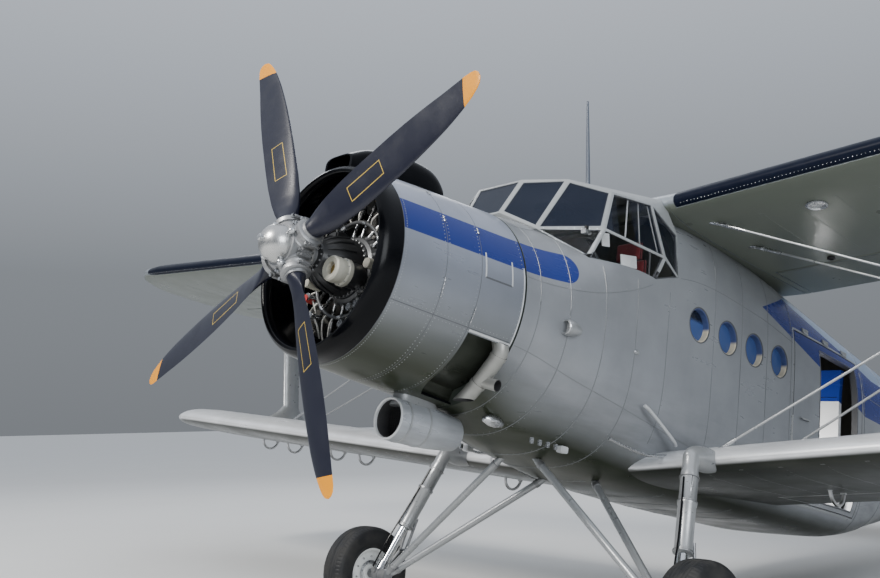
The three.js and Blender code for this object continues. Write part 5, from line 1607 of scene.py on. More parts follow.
for off in np.arange(-10, 11) * cooler["finPitch"][0]:
    reach = finReach(off)
    coolerForm.block((-reach, front + 0.120, z + off - 0.0012), (reach, front + 0.162, z + off + 0.0012), 3)
for x in np.arange(-5, 6) * cooler["finPitch"][1]:
    reach = finReach(x)
    coolerForm.block((x - 0.002, front + 0.118, z - reach), (x + 0.002, front + 0.162, z + reach), 3)
saddleHalf, saddleReach = cooler["saddle"]
saddleRings = []
for height, grow in ((z + 0.105, 0.010), (z + 0.135, 0.0), (z + 0.160, -0.008), (-0.700, -0.008)):
    across, along = squareRing(48, 0.7)
    saddleRings.append(np.stack([(saddleHalf + grow) * across, front + 0.235 + (saddleReach + grow) * along,
                                 np.full(48, height)], axis=1))
saddle = carve(Form().loft(saddleRings).solid(), [cowlBlank(0.0004), fuselageLoft(1.4, 2.2, 8, -0.0006)])
dress(saddle, "oil_cooler_saddle", "airframe", ["strut silver"])
coolerSkin = silverFinish("cooler skin", light=(0.40, 0.42, 0.45))
dress(coolerForm, "oil_cooler_tube", "airframe", [
    coolerSkin, "bright steel", "strut silver", "dark trim and hollow shade", "pale trim and edge highlight",
], "oil_cooler")

# Exhaust: a wide pipe out of the bay's upper wall, with an open end cut level and one short branch
exhaust = {
    "path": [(0.640, 1.395, -0.320), (0.648, 1.400, -0.415), (0.535, 1.408, -0.545), (0.405, 1.414, -0.668),
             (0.270, 1.418, -0.775)],
    "radius": 0.058,
    "wall": 0.003,
    "branch": ((0.480, 1.412, -0.600), (0.630, 1.436, -0.634)),
    "scarf": -0.729,      # height of the level cut at its end
    "branchRadius": 0.042,
}
pipePath = curveThrough(exhaust["path"], 12)
ending = pipePath[-1] + (pipePath[-1] - pipePath[-2]) * 2
radius, branchRadius, wall = exhaust["radius"], exhaust["branchRadius"], exhaust["wall"]
bore = Form().tube(np.vstack([pipePath[20:], [ending]]), radius - wall, 40).solid()
stub, mouth = (np.array(p) for p in exhaust["branch"])
branch = barCutter(stub, mouth, branchRadius, 36)
hollow = barCutter(mixed(stub, mouth, 0.5), mixed(stub, mouth, 1.2), branchRadius - wall, 36)
pipe = Form().tube(pipePath, radius, 48).solid()
carve(pipe, [branch], "UNION")
scarf = blockCutter((0.0, 1.2, -1.1), (0.55, 1.7, exhaust["scarf"]))
roof = blockCutter((-2, 0.5, 0), (2, 2, 2))      # the bay's upper wall
roof.data.transform(Matrix.Rotation(math.radians(cowl["bay"]["angles"][0] - 91), 4, "Y"))
carve(pipe, [bore, hollow, scarf, roof])
collars = Form()
for at in (13, 30):
    collars.tube(pipePath[at:at + 3], radius + 0.004, 48, 0)
joinForm(pipe, collars)
reach = mouth - stub
# the insides of the pipe and its branch are near black: soot, and painted shade
for polygon in pipe.data.polygons:
    centre = np.array(polygon.center)
    inPipe = np.linalg.norm(pipePath - centre, axis=1).min() < radius - wall / 2
    along = np.clip((centre - stub) @ reach / (reach @ reach), 0, 1)
    inBranch = np.linalg.norm(mixed(stub, mouth, along) - centre) < branchRadius - wall / 2
    polygon.material_index = int(inPipe or inBranch)
dress(pipe, "exhaust_stack", "airframe", ["exhaust steel", "dark trim and hollow shade"], "exhaust_pipe",
      crease=40)
print("scoop, cooler and exhaust made")

# Interplane struts: a lens section spread out at both ends, with a flange ring at each wing
strut = {
    "station": 5.300,
    "sharp": 0.22,      # how much the section narrows towards its rear edge
    # height, middle of the chord, chord, thickness
    "rows": [(-0.470, 3.830, 0.640, 0.180), (-0.345, 3.830, 0.610, 0.150), (-0.270, 3.845, 0.420, 0.118),
             (-0.170, 3.835, 0.240, 0.096), (1.250, 3.560, 0.240, 0.096), (1.370, 3.540, 0.420, 0.118),
             (1.460, 3.530, 0.610, 0.150), (1.590, 3.520, 0.640, 0.180)],
}


def surfaceCutter(which, side, grow=0.0004):
    return placedSolid(wingSolid(which, grow), wingFrame(which, side))


def buildStrut(side, hand):
    rows = strut["rows"]
    path = [rows[0], *curveThrough(rows[1:4], 8), *curveThrough(rows[4:7], 8), rows[7]]
    angles = np.arange(48) * 2 * math.pi / 48
    section = np.sin(angles) * (1 - strut["sharp"] * np.maximum(0.0, np.cos(angles)) ** 2)
    rings = [np.stack([side * (strut["station"] + section * thick / 2), middle + np.cos(angles) * chord / 2,
                       np.full(48, height)], axis=1) for height, middle, chord, thick in path]
    body = carve(Form().loft(rings).solid(), [surfaceCutter("lower", side), surfaceCutter("upper", side)])
    dress(body, f"interplane_strut_{hand}_skin", "airframe", ["strut silver"],
          f"interplane_strut_{hand}", crease=45)


bothHands(buildStrut)

# Flying and landing wires with forked ends, held by a spreader where they cross
wires = {
    "radius": 0.010,
    "runs": [((1.060, 3.190, -0.900), (5.150, 3.450, 1.530)), ((1.060, 3.900, -0.900), (5.150, 3.640, 1.530)),
             ((0.900, 3.360, 1.210), (5.140, 3.700, -0.420)), ((0.900, 3.980, 1.200), (5.140, 3.960, -0.420))],
    "spreader": ((3.190, 3.220, 0.345), (3.190, 4.020, 0.345)),
}


def buildWires(side, hand):
    form = Form()
    for run in wires["runs"]:
        inner, outer = flipped(run, side)
        length = np.linalg.norm(outer - inner)
        form.tube([mixed(inner, outer, t) for t in (0.0, 0.33, 0.66, 1.0)], wires["radius"], 14)
        for end, other in ((inner, outer), (outer, inner)):
            # places along the wire, radii and sides: barrel, locking nut and fork
            for places, radii, sides in (
                ((0.16, 0.19, 0.40, 0.44), (0.010, 0.016, 0.016, 0.010), 14),
                ((0.235, 0.26), 0.020, 6),
                ((0.08, 0.10, 0.17), (0.018, 0.024, 0.018), 12),
            ):
                form.tube([mixed(end, other, d / length) for d in places], radii, sides, 1)
    a, b = flipped(wires["spreader"], side)
    form.tube([mixed(a, b, t) for t in (0, 0.04, 0.96, 1.0)], [0.012, 0.017, 0.017, 0.012], 18, 2)
    for t in (0.06, 0.5, 0.94):
        form.tube([mixed(a, b, t - 0.02), mixed(a, b, t + 0.02)], 0.026, 18, 1)
    thing = carve(form.solid(), [surfaceCutter("lower", side), surfaceCutter("upper", side), cabinRoom(),
                                 centreSlab(0.0003)], overlapping=True)
    dress(thing, f"bracing_wires_{hand}_set", "airframe", ["strut silver", "bright steel", "strut silver"],
          f"bracing_wires_{hand}", crease=50)


bothHands(buildWires)


def buildTailStrut(side, hand):
    a, b = np.array(tail["strut"])
    chord, thick = tail["strutSection"]
    run = (b - a) / np.linalg.norm(b - a)
    across = np.cross(run, (0, 1, 0)) * thick
    along = np.array((0, chord, 0))
    section = [along * math.cos(k) + across * math.sin(k) for k in spread(0, 2 * math.pi, 28)[:-1]]
    body = Form().loft([flipped(mixed(a, b, t) + section, side) for t in spread(0, 1, 12)]).solid()
    carve(body, [boomRoom(), placedSolid(tailSolid(tail["plane"], 0.0004), tailplaneFrame(side))])
    dress(body, f"tailplane_strut_{hand}_skin", "airframe", ["strut silver"],
          f"tailplane_strut_{hand}")


bothHands(buildTailStrut)
print("struts and wires made")

# Main gear
gear = {
    "hub": (1.700, 2.446, -2.009),
    "strutHead": (1.290, 2.850, -0.870),
    "strutFoot": (1.525, 2.446, -2.009),
    "braceTops": ((0.120, 2.410, -0.930), (0.200, 3.080, -1.000)),
    "braceFoot": (1.440, 2.446, -2.009),
    "fairing": {"centre": (1.290, 3.010, -0.870), "size": (0.085, 0.230, 0.095)},
    "cylinder": [(0, 0.060), (0.10, 0.060), (0.13, 0.066), (0.14, 0.064), (0.30, 0.064), (0.305, 0.069),
                 (0.325, 0.069), (0.33, 0.064), (0.60, 0.064), (0.605, 0.070), (0.622, 0.070), (0.630, 0.052)],
    "piston": [(0.60, 0.041), (0.90, 0.041), (0.905, 0.054), (0.97, 0.054), (1.0, 0.050)],
    "tyre": {"radius": 0.400, "half": 0.130, "rim": 0.215},
}


def wheelRing(radius, out, count, first=0.0):
    # places on a ring about a wheel's axle, at a distance out from its middle
    return [around(radius, out, first + 360 * i / count)[[1, 0, 2]] for i in range(count)]


def buildGear(side, hand):
    head, foot, hub = (flipped(gear[key], side) for key in ("strutHead", "strutFoot", "hub"))
    legs = Form()

    def onLeg(t, *shift):
        return mixed(head, foot, t) + (shift or (0, 0, 0))

    # share of the leg's length from its head, and radius
    for steps, slot in ((gear["cylinder"], 0), (gear["piston"], 1)):
        legs.tube([onLeg(t) for t, radius in steps], [radius for t, radius in steps], 40, slot)
    for t in (0.15, 0.31, 0.612):
        legs.tube([onLeg(t - 0.004), onLeg(t + 0.004)], 0.073, 40, 2)
    legs.ball(foot, (0.058, 0.062, 0.062), 2, 28)
    legs.tube([foot - (side * 0.045, 0, 0), foot + (side * 0.02, 0, 0)], 0.060, 32, 2)
    legs.tube([foot, hub + (side * 0.06, 0, 0)], 0.0378, 32, 2)
    legs.tube([onLeg(0.97, 0, 0.085, 0), onLeg(0.97, 0, -0.085, 0)], 0.024, 20, 2)
    for dx in (-0.045, 0.045):
        knee = onLeg(0.80, dx * 0.8, 0.125, 0)
        legs.tube([onLeg(0.55, dx, 0.055, 0), knee], 0.013, 12, 2)
        legs.tube([knee, onLeg(0.97, dx, 0.070, 0)], 0.013, 12, 2)
    legs.tube([onLeg(0.80, -0.05, 0.125, 0), onLeg(0.80, 0.05, 0.125, 0)], 0.016, 12, 2)
    hose = curveThrough([onLeg(0.15, 0, -0.07, 0), onLeg(0.5, side * 0.01, -0.082, 0),
                         onLeg(0.75, side * 0.01, -0.10, 0), hub - (side * 0.16, 0.06, -0.06)], 8)
    legs.tube(hose, 0.007, 8, 3)
    legs.ball(flipped(gear["fairing"]["centre"], side), gear["fairing"]["size"], 0, 36)
    thing = carve(legs.solid(), [surfaceCutter("lower", side), cabinRoom()], overlapping=True)
    dress(thing, f"shock_strut_{hand}_leg", "airframe", [
        "strut silver", "piston chrome", "hub steel", "gloss black paint",
    ], f"shock_strut_{hand}", crease=40)

    braces = Form()
    foot = flipped(gear["braceFoot"], side)
    for top, shift in zip(flipped(gear["braceTops"], side), (0, 0.040)):
        low = foot + (0, shift, 0)
        braces.tube([mixed(low, top, t) for t in (0.0, 0.03, 0.05, 0.93, 0.95, 1.0)],
                    [0.026, 0.026, 0.0295, 0.0295, 0.024, 0.024], 28, 0)
        braces.tube([mixed(low, top, t) for t in (0.055, 0.075)], 0.035, 28, 1)
        braces.tube([mixed(low, top, t) for t in (0.895, 0.915)], 0.035, 28, 1)
    braces.tube([foot - (side * 0.045, 0, 0), foot + (side * 0.0397, 0, 0)], 0.052, 32, 1)
    thing = carve(braces.solid(), [cabinRoom()], overlapping=True)
    dress(thing, f"gear_brace_{hand}_pair", "airframe", ["strut silver", "hub steel"],
          f"gear_brace_{hand}", crease=45)

    # Rim: dished halves, hub cap, bolts
    rim = Form()
    spec = gear["tyre"]
    a, b = spec["rim"], spec["half"] * 0.7
    bore = 0.0387
    rim.lathe([
        (bore, -0.073), (0.062, -0.075), (0.073, -0.072), (0.076, -0.060), (0.120, -0.050), (0.168, -0.042),
        (0.186, -0.052), (0.196, -0.084), (0.206, -b), (a, -b), (a, -b + 0.010), (a - 0.018, -b + 0.020),
        (a - 0.020, b - 0.020), (a, b - 0.010), (a, b), (0.206, b), (0.196, 0.084), (0.186, 0.052),
        (0.168, 0.042), (0.120, 0.050), (0.076, 0.060), (0.073, 0.072), (0.062, 0.075), (bore, 0.073),
        (bore, -0.073),
    ], 96, 0, "X")
    for face in (-1, 1):
        studs(rim, wheelRing(0.142, face * 0.048, 10), [(face, 0, 0)] * 10, 0.010, 0.012, 1)
        # the bolt holes are near-black discs, painted shade
        for hole in wheelRing(0.166, face * 0.040, 5, math.degrees(0.3)):
            rim.lathe([(0.0, 0.0), (0.021, 0.0), (0.024, 0.004), (0.021, 0.008)], 20, 2, "X", at=hole)
        cover = ((0.080, 0.060), (0.106, 0.056), (0.110, 0.062), (0.088, 0.068), (0.080, 0.060))
        rim.lathe([(r, face * out) for r, out in cover], 60, 1, "X")
    rim.lathe([(0.0396, 0.074), (0.058, 0.075), (0.061, 0.080), (0.060, 0.098), (0.048, 0.108), (0.020, 0.112),
               (0.0, 0.113)], 48, 1, "X")
    rim.points = flipped(rim.points, side) + hub
    dress(rim, f"main_rim_{hand}_disc", f"main_wheel_{hand}", [
        "white paint", "bright steel", "dark trim and hollow shade",
    ], f"main_rim_{hand}", crease=38)

    tyre = tyreForm(spec["radius"], spec["half"], spec["rim"], 72, 0.0045)
    tyre.points = flipped(tyre.points, side) + hub
    dress(tyre, f"main_tyre_{hand}_rubber", f"main_wheel_{hand}", [tyreRubber],
          f"main_tyre_{hand}", crease=40)


def tyreForm(radius, half, rim, blocks, groove):
    # carcass with ribbed tread: grooves round it and short notches at the shoulders
    outline = [
        (rim + 0.0003, -half * 0.70), (rim + 0.020, -half * 0.80), (rim + 0.045, -half * 0.93),
        (rim + (radius - rim) * 0.46, -half), (radius * 0.875, -half * 0.985), (radius * 0.935, -half * 0.90),
        (radius * 0.968, -half * 0.76), (radius * 0.986, -half * 0.62), (radius * 0.9955, -half * 0.42),
        (radius, -half * 0.20), (radius, 0.0),
    ]
    smooth = curveThrough([(r, w, 0) for r, w in outline], 5)[:, :2]
    profile = [*map(tuple, smooth), *[(r, -w) for r, w in smooth[::-1][1:]], outline[0]]
    sides = blocks * 4
    rings = []
    for i in range(sides):
        a = 2 * math.pi * i / sides
        ring = []
        for r, w in profile:
            share = abs(w) / half
            grooved = r > radius * 0.97 and any(abs(share - g) < 0.035 for g in (0.02, 0.24, 0.46))
            notched = i % 4 == 0 and 0.50 < share < 0.86 and r > radius * 0.93
            depth = groove if grooved else groove * 0.8 if notched else 0
            ring.append((w, (r - depth) * math.sin(a), (r - depth) * math.cos(a)))
        rings.append(ring)
    return Form().loft([*rings, rings[0]], closed=False, caps=False)


bothHands(buildGear)

# Tail wheel in its castoring fork
castor = {"hub": (0, 10.636, -0.467), "radius": 0.235, "half": 0.085, "rim": 0.118, "trail": 0.190,
          "height": 0.262}
upright = rotate((0, 0, 1), stance["noseUp"], "X")
tailHub = np.array(castor["hub"])
crown = tailHub + (0, -castor["trail"], castor["height"])
tailTyre = tyreForm(castor["radius"], castor["half"], castor["rim"], 48, 0.003)
dress(Form().take(tailTyre, 0, tailHub), "tail_tyre_rubber", "tail_wheel", [tyreRubber],
      "tail_tyre", crease=40)
tailRim = Form()
a, b = castor["rim"], castor["half"] * 0.7
tailRim.lathe([
    (0.0207, -0.046), (0.040, -0.047), (0.044, -0.036), (0.080, -0.026), (0.100, -0.032), (0.110, -b), (a, -b),
    (a, -b + 0.006), (a - 0.012, -b + 0.014), (a - 0.012, b - 0.014), (a, b - 0.006), (a, b), (0.110, b),
    (0.100, 0.032), (0.080, 0.026), (0.044, 0.036), (0.040, 0.047), (0.0207, 0.046), (0.0207, -0.046),
], 72, 0, "X", at=tailHub)
for face in (-1, 1):
    studs(tailRim, tailHub + wheelRing(0.066, face * 0.029, 8), [(face, 0, 0)] * 8, 0.006, 0.008, 1)
dress(tailRim, "tail_rim_disc", "tail_wheel", ["white paint", "bright steel"], "tail_rim", crease=38)
fork = Form()
arm = castor["half"] + 0.026
top = crown - (0, 0, 0.045)
fork.tube([crown - upright * d for d in (0.055, 0.045, 0.020, 0.0003)], [0.050, 0.052, 0.052, 0.052], 36)
fork.tube([top + (x, 0, 0) for x in (-arm - 0.014, -arm - 0.008, arm + 0.008, arm + 0.014)],
          [0.028, 0.034, 0.034, 0.028], 28)
for side in (-1, 1):
    fork.tube([mixed(top, tailHub, t) + (side * arm, 0, 0) for t in (0, 0.5, 1)], [0.022, 0.020, 0.020], 24)
    fork.tube([tailHub + (side * x, 0, 0) for x in (arm - 0.018, arm + 0.016)], 0.034, 28, 1)
fork.tube([tailHub + (x, 0, 0) for x in (-arm - 0.016, arm + 0.016)], 0.0198, 28, 1)
dress(fork, "tail_fork_arms", "tail_castor", ["strut silver", "hub steel"], "tail_fork", crease=45)
boss = Form().tube([crown + upright * d for d in (0.0, 0.012, 0.09)], [0.056, 0.060, 0.060], 40)
dress(boss, "tail_castor_boss", "airframe", ["strut silver"])

# Aerial mast
mast = Form().tube([mixed((0, 2.963, 1.30), (0, 2.81, 2.30), t) for t in (0, 0.13, 0.145, 0.3, 0.7, 1.0)],
                   [0.030, 0.030, 0.022, 0.019, 0.015, 0.010], 20)
dress(carve(mast.solid(), [centreSlab(0.0003), canopyHull(-0.0004)]), "aerial_mast_tube", "airframe",
      ["mast paint"], "aerial_mast")
print("gear and mast made")

# Round windows: rubber rim, lined reveal and glass
windowGlass = glassFinish("window glass with painted sky", 0.80)
# the reveal: blue above a height, and pale cream below it as painted sunlight
sunlitRevealSkin = splitFinish("window reveal, sunlit below", fuselage["windowHeight"] - 0.01, 0.03, (0.055, 0.085, 0.22),
                         (0.74, 0.66, 0.50))
windows = {"radius": 0.145, "rim": 0.007, "recess": 0.054}


def buildWindows(side, stations, name):
    form = Form()
    for y in stations:
        edge = fuselageRing(y, 0, 1440)
        near = edge[edge[:, 0] * side > 0]
        x = abs(near[np.argmin(np.abs(near[:, 2] - fuselage["windowHeight"]))][0])
        r, rim, pane = windows["radius"], windows["rim"], -windows["recess"]
        # radius, and distance out from the skin
        rubber = [(r - 0.004, -0.058), (r - 0.001, -0.058), (r - 0.001, 0.001), (r + 0.002, 0.003),
                  (r + rim, 0.002), (r + rim, 0.0005), (r - 0.004, -0.001), (r - 0.004, -0.058)]
        reveal = [(r - 0.014, -0.059), (r - 0.0042, -0.059), (r - 0.0042, -0.004), (r - 0.010, -0.006),
                  (r - 0.014, -0.059)]
        glass = [(0.0, pane + 0.004), (r * 0.5, pane + 0.003), (r - 0.011, pane),
                 (r - 0.011, pane - 0.004), (r * 0.5, pane - 0.002), (0.0, pane - 0.001)]
        for profile, sides, slot in ((rubber, 72, 0), (reveal, 72, 2), (glass, 60, 1)):
            form.lathe([(radius, side * (x + out)) for radius, out in profile], sides, slot, "X",
                       at=(0, y, fuselage["windowHeight"]))
    dress(form, name, "airframe", ["seam sealant", windowGlass, sunlitRevealSkin], crease=50)


buildWindows(1, fuselage["portWindows"], "port_windows")
buildWindows(-1, fuselage["starboardWindows"], "starboard_windows")

# Canopy: the framed hood and its glazing, with rubber seals and rivets
for node in ("cabin_floor", "cockpit_floor"):
    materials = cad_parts[node].data.materials
    materials.clear()
    materials.append(paints["floor plate"])

canopyPanes = [
    # corners, width of the frame round the pane
    (["screenTopInner", "screenBaseInner", "screenBaseOuter", "screenTopOuter"], 0.024),
    (["screenTopOuter", "screenBaseOuter", "quarterBase", "quarterTop"], 0.023),
    (["quarterTop", "quarterBase", "railRear", "eaveMiddle"], 0.018),
    (["railRear", "eaveMiddle", "eaveRear", "sillRear"], 0.013),
    (["screenBaseOuter", "quarterBase", "sillFront"], 0.017),
    (["quarterBase", "railRear", "sillMiddle", "sillFront"], 0.016),
    (["railRear", "sillMiddle", "sillRear"], 0.012),
]
canopyDepths = {"frame": 0.020, "pane": (-0.010, -0.006)}


def paneOutline(side, corners, border):
    # outline of one pane's opening and the way it faces
    corners = [flipped(canopy["corners"][name], side) for name in corners]
    centre = np.mean(corners, axis=0)
    drawn = []
    for corner in corners:
        way = centre - corner
        drawn.append(corner + way / np.linalg.norm(way) * border * 1.5)
    normal = np.cross(corners[1] - corners[0], corners[2] - corners[0])
    normal /= np.linalg.norm(normal)
    if (centre - np.array(canopy["centre"])) @ normal < 0:
        normal = -normal
    return drawn, normal


def panePrism(drawn, normal, low, high):
    return hullSolid([Vector(corner + normal * height) for corner in drawn for height in (low, high)])


seals, frameRivets = Form(), Form()
openings, glazing = [], []
outlines = [paneOutline(side, corners, border) for side in (1, -1) for corners, border in canopyPanes]
# the middle pane of the windscreen spans both sides
screen = [flipped(canopy["corners"][name], side) for name, side in
          (("screenTopInner", 1), ("screenBaseInner", 1), ("screenBaseInner", -1), ("screenTopInner", -1))]
facing = np.cross(screen[2] - screen[0], screen[1] - screen[0])
facing *= -np.sign(facing[1]) / np.linalg.norm(facing)
centre = np.mean(screen, axis=0)
outlines.append(([corner + (centre - corner) / np.linalg.norm(centre - corner) * 0.030 for corner in screen],
                 facing))
for drawn, normal in outlines:
    heart = np.mean(drawn, axis=0)
    openings.append(panePrism(drawn, normal, -0.09, 0.09))
    glazing.append(panePrism([mixed(corner, heart, -0.01) for corner in drawn], normal, *canopyDepths["pane"]))
    for a, b in zip(drawn, [*drawn[1:], drawn[0]]):
        path = [mixed(a, b, t) - normal * 0.010 for t in spread(0, 1, 6)]
        ribbon(seals, path, [normal] * 7, 0.008, 0.006, 0, 0.012)
        count = max(2, int(np.linalg.norm(b - a) / 0.055))
        outward = np.cross(b - a, normal)
        outward *= np.sign((mixed(a, b, 0.5) - heart) @ outward) / np.linalg.norm(outward)
        places = [mixed(a, b, (i + 0.5) / count) + outward * 0.010 + normal * 0.0006 for i in range(count)]
        studs(frameRivets, places, [normal] * count, 0.0034, 0.0012)
hood = canopyHull(0)
inside = [moved(canopyHull(canopyDepths["frame"]), 0, 0, drop) for drop in (0, -0.2)]
carve(hood, [*inside, fuselageLoft(1.4, 3.5, 24, -0.0004), centreSlab(0.0008), *openings])
dress(hood, "canopy_frame_bars", "airframe", ["window frame paint"], "canopy_frame", crease=30)
soften = hood.modifiers.new("soft edges", "BEVEL")
soften.width = 0.003
soften.segments = 2
soften.limit_method = "ANGLE"
soften.angle_limit = math.radians(30)
bpy.context.view_layer.update()
panes = carve(glazing[0], glazing[1:], "UNION")
dress(panes, "canopy_panes", "airframe", [canopyGlass], "canopy_glass", crease=20)
dress(seals, "canopy_seals", "airframe", ["seam sealant"])
dress(frameRivets, "canopy_rivets", "airframe", ["bright steel"], crease=60)

# Instrument panel: board, coaming, dials with bezels, switches
board = {"front": 2.300, "rear": 2.340, "top": 0.760, "foot": -0.330}
panelForm = Form()
ring = fuselageRing(2.32, 0.062, 240)
topCut = np.minimum(ring[:, 2], board["top"])
outline = np.array([(x, z) for x, z in zip(ring[:, 0] * 0.985, topCut) if z > board["foot"] + 0.0004])
outline = outline[np.argsort(np.arctan2(outline[:, 1] - 0.2, outline[:, 0]))]
panelForm.loft([[(x, y, z) for x, z in outline] for y in (board["front"] + 0.001, board["rear"] - 0.001)], 0)
# height of a row of dials, their places and radius
dials = (
    (0.640, (-0.56, -0.42, -0.28, -0.10, 0.10, 0.28, 0.42, 0.56), 0.050),
    (0.510, (-0.56, -0.42, -0.28, -0.12, 0.0, 0.12, 0.28, 0.42, 0.56), 0.048),
    (0.385, (-0.50, -0.38, -0.26, -0.10, 0.02, 0.14, 0.26, 0.38, 0.50), 0.042),
    (0.275, (-0.44, -0.33, 0.33, 0.44), 0.036),
)


def addDial(x, z, radius):
    # bezel, face, a hand at a random angle and its twelve ticks
    at = np.array((x, 0, z))
    panelForm.lathe([(radius, 2.338), (radius, 2.350), (radius - 0.004, 2.354), (radius - 0.009, 2.350),
                     (radius - 0.009, 2.344), (0.0, 2.344)], 28, 1, at=at)
    panelForm.lathe([(radius - 0.012, 2.3442), (radius - 0.012, 2.3446), (0.0, 2.3446)], 24, 2, at=at)
    pivot = at + (0, 2.3456, 0)
    panelForm.tube([pivot, pivot + around(radius * 0.62, 0, dice.uniform(-140, 140))], 0.0014, 6, 3)
    for outer, inner in zip(ringOf(radius - 0.015, 2.3450, 12), ringOf(radius - 0.020, 2.3450, 12)):
        panelForm.tube([at + outer, at + inner], 0.0009, 5, 3)


for z, places, radius in dials:
    for x in places:
        addDial(x, z, radius)
for i in range(14):
    x = -0.26 + i * 0.04
    panelForm.tube([(x, 2.339, 0.180), (x, 2.352, 0.180)], 0.008, 10, 1)
    panelForm.tube([(x, 2.350, 0.180), (x, 2.368, 0.186)], 0.0035, 8, 4)
coaming = curveThrough([(-0.70, 2.350, 0.690), (-0.52, 2.420, 0.742), (0.0, 2.440, 0.770), (0.52, 2.420, 0.742),
                        (0.70, 2.350, 0.690)], 10)
section = ((0, 0, -0.006), (0, 0, 0.008), (0, -0.10, 0.016), (0, -0.10, 0.004))
panelForm.loft([[p + corner for corner in section] for p in coaming], 5)
dress(panelForm, "instrument_panel_board", "airframe", [
    "instrument panel paint", "gloss black paint", "dark trim and hollow shade", "white paint",
    "bright steel", "dark trim and hollow shade",
], "instrument_panel")

# Control columns, centre pedestal, levers, side boxes and overhead panel
cockpit = Form()
for side in (1, -1):
    x = side * 0.435
    cockpit.tube(curveThrough([(x, 2.480, -0.32), (x, 2.490, 0.10), (x, 2.510, 0.30), (x, 2.520, 0.36)], 8),
                 0.017, 16, 0)
    wheel = [(x + 0.150 * math.sin(t), 2.520 + 0.02 * math.cos(2 * t), 0.385 + 0.115 * math.cos(t))
             for t in spread(math.radians(-125), math.radians(125), 40)]
    cockpit.tube(wheel, 0.0125, 14, 1)
    cockpit.tube([(x - 0.125, 2.520, 0.32), (x, 2.525, 0.375), (x + 0.125, 2.520, 0.32)], 0.011, 12, 0)
    cockpit.lathe([(0.0, 2.50), (0.038, 2.502), (0.042, 2.512), (0.036, 2.534), (0.0, 2.540)], 28, 1,
                  at=(x, 0, 0.380))
    for pedal in (-0.09, 0.09):
        cockpit.block((x + pedal - 0.042, 2.395, -0.20), (x + pedal + 0.042, 2.412, -0.05), 0, None, 0.006)
        cockpit.tube([(x + pedal, 2.41, -0.30), (x + pedal, 2.40, -0.20)], 0.010, 10, 0)
    cockpit.block((side * 0.700 - 0.045, 2.46, 0.30), (side * 0.700 + 0.045, 2.78, 0.40), 2, None, 0.012)
    cockpit.block((side * 0.735 - 0.030, 2.86, 0.36), (side * 0.735 + 0.030, 3.04, 0.50), 3, None, 0.014)
    cockpit.block((side * 0.640 - 0.055, 2.40, 0.47), (side * 0.640 + 0.055, 2.50, 0.575), 2, None, 0.016)
    cockpit.tube(curveThrough([(side * 0.66, 2.56, 0.40), (side * 0.67, 2.60, 0.52),
                               (side * 0.60, 2.66, 0.60)], 8), 0.011, 12, 4)
# two pale cards on the port side, behind the panes
lean = Matrix.Rotation(math.radians(12), 4, "X")
cockpit.block((0.698, 2.322, 0.680), (0.706, 2.418, 0.785), 6, lean, 0.002)
cockpit.block((0.698, 2.580, 0.600), (0.706, 2.790, 0.700), 6, lean, 0.002)
cockpit.block((-0.110, 2.36, -0.325), (0.110, 2.62, 0.215), 5, None, 0.016)
for i in range(5):
    x = -0.072 + 0.036 * i
    cockpit.tube([(x, 2.50, 0.205), (x, 2.54 + 0.02 * (i % 3), 0.30)], 0.006, 10, 0)
    cockpit.ball((x, 2.543 + 0.02 * (i % 3), 0.305), 0.015, (4, 3, 1)[i % 3], 14)
cockpit.block((-0.165, 2.44, 1.150), (0.165, 2.86, 1.205), 5, None, 0.014)
for i in range(12):
    x, y = -0.13 + 0.052 * (i % 6), 2.52 + 0.12 * (i // 6)
    cockpit.tube([(x, y, 1.150), (x, y - 0.005, 1.128)], 0.005, 8, 0)
cockpit.tube([(0.0, 2.42, 0.790), (0.0, 2.42, 0.86)], 0.010, 12, 0)
cockpit.ball((0.0, 2.42, 0.885), (0.038, 0.040, 0.034), 1, 22)
dress(cockpit, "cockpit_controls", "airframe", [
    "hub steel", "gloss black paint", "floor plate", "white paint", "red paint",
    "instrument panel paint", "cockpit card",
], crease=40)
print("cockpit made")

# Seats: padded base and back, subdivided and creased by their seams, on a pan with legs and a rear frame
seatFacts = {
    "x": (0.230, 0.640), "base": (2.700, 3.060, -0.08, 0.120), "back": (2.990, 3.090, 0.060, 0.800),
    "headrest": (3.000, 3.080, 0.780, 0.960),
}


